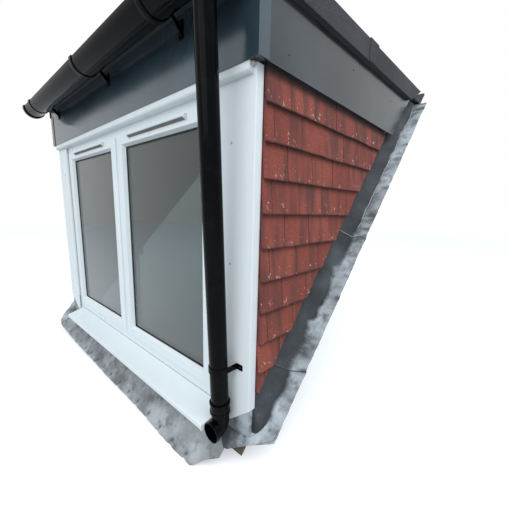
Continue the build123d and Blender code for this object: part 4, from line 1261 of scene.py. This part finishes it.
# Laps in the felt, one strip across the deck and one over each verge
lapSet = {
    "y": (0.600, 0.690),
    "deckHalf": 0.984,
    "deckCells": 60,
    "thick": 0.0028,
    # out and up on the verge, and the way that the strip faces there
    "verge": ((1.0700, -0.058), (1.0700, 0.0250), (1.0030, 0.0250), (0.9830, 0.0050)),
    "vergeWay": ((1, 0), (1, 1), (-0.4, 1), (-0.7, 0.7)),
    "deckFront": -0.0825,
    "deckTop": 1.59566,
    "fall": 1.4,
    "felt": 0.005,
    "cells": 9,
    "ragged": (0.004, 21, 9),
}


def deckPoint(s, x, y, height):
    tilt = math.tan(math.radians(s["fall"]))
    return Vector((x, y, s["deckTop"] + (y - s["deckFront"]) * tilt + height))


def addLap(bm, s, line, ways):
    # a strip that follows the felt, its long edges a little ragged
    y0, y1 = s["y"]
    depth, size, step = s["ragged"]
    rows = []
    for x, height in line:
        row = []
        for k in range(s["cells"] + 1):
            y = y0 + (y1 - y0) * k / s["cells"]
            if k in (0, s["cells"]):
                y += depth * noise.noise(Vector((x * size, height * size, k * step)))
            row.append((x, y, height))
        rows.append(row)
    under, over = (
        [[bm.verts.new(deckPoint(s, x + nx * out, y, height + nz * out)) for x, y, height in row]
         for row, (nx, nz) in zip(rows, ways)]
        for out in (0.0, s["thick"])
    )
    addPlate(bm, over, under)


def layLaps(s):
    bm = bmesh.new()
    half, count = s["deckHalf"], s["deckCells"]
    line = [(-half + 2 * half * k / count, s["felt"]) for k in range(count + 1)]
    addLap(bm, s, line, [(0, 1)] * len(line))
    for side in (-1, 1):
        line = [(side * x, height) for x, height in s["verge"]]
        addLap(bm, s, line, [(side * out, up) for out, up in s["vergeWay"]])
    settle(bm, "felt_laps", feltFinish)


layLaps(lapSet)

# Screws, caps and pins
headSet = {
    "pinY": -0.0825,
    "frontPins": ((0.709, 1.504), (0.997, 1.409), (0.498, 1.423),
                  (-0.444, 1.467), (-0.389, 1.349), (-0.896, 1.465)),
    "pinX": 1.047,
    "rightPins": ((0.508, 1.490), (0.975, 1.494), (0.060, 1.385)),
    "leftPins": ((0.508, 1.490), (0.975, 1.494)),
    "capY": -0.060,
    "caps": ((0.9139, 1.1206), (0.9117, 0.7118), (-0.9139, 1.1206), (-0.9117, 0.7118)),
    "clipScrews": ((0.9745, -0.063, 0.3307), (0.8650, -0.063, 0.3307)),
    "bracketX": (-0.850, 0.020, 0.670),
    "bracketZ": (1.5077, 1.5437),
    "bracketY": -0.0865,
    "pinHead": (0.0034, 0.0013),  # radius and height
    "capHead": (0.0048, 0.0022),
    "screwHead": (0.0042, 0.0020),
}


def driveHeads(s):
    pins, caps, screws = bmesh.new(), bmesh.new(), bmesh.new()
    front = (0, -1, 0)
    for side, places in ((1, s["rightPins"]), (-1, s["leftPins"])):
        for y, z in places:
            addHead(pins, (side * s["pinX"], y, z), (side, 0, 0), *s["pinHead"])
    for x, z in s["frontPins"]:
        addHead(pins, (x, s["pinY"], z), front, *s["pinHead"])
    for x, z in s["caps"]:
        addHead(caps, (x, s["capY"], z), front, *s["capHead"])
    brackets = [(x, s["bracketY"], z) for x in s["bracketX"] for z in s["bracketZ"]]
    for place in (*s["clipScrews"], *brackets):
        addHead(screws, place, front, *s["screwHead"])
    settle(pins, "fascia_pins", pinFinish, smooth=True)
    # the caps' grey finish is painted shade round them
    settle(caps, "panel_screw_caps", capFinish, smooth=True)
    settle(screws, "bracket_and_clip_screws", pinFinish, smooth=True)


driveHeads(headSet)

# Foam squeezed out under the corner of the fascia
foamSet = {
    "lumps": (  # place and radius
        ((1.0045, -0.0690, 1.3290), 0.0062),
        ((1.0120, -0.0662, 1.3300), 0.0072),
        ((1.0190, -0.0675, 1.3275), 0.0052),
    ),
    "ragged": 0.35,
    "size": 1.7,
    "apart": 300,  # in the noise, so that no lump is like another
}


def squeezeFoam(s):
    bm = bmesh.new()
    for place, radius in s["lumps"]:
        place = Vector(place)
        for v in bmesh.ops.create_icosphere(bm, subdivisions=3, radius=1)["verts"]:
            swell = 1 + s["ragged"] * noise.noise(v.co * s["size"] + place * s["apart"])
            v.co = place + v.co * radius * swell
    settle(bm, "foam_lumps", foamFinish, smooth=True)


squeezeFoam(foamSet)
print("small pieces fitted")
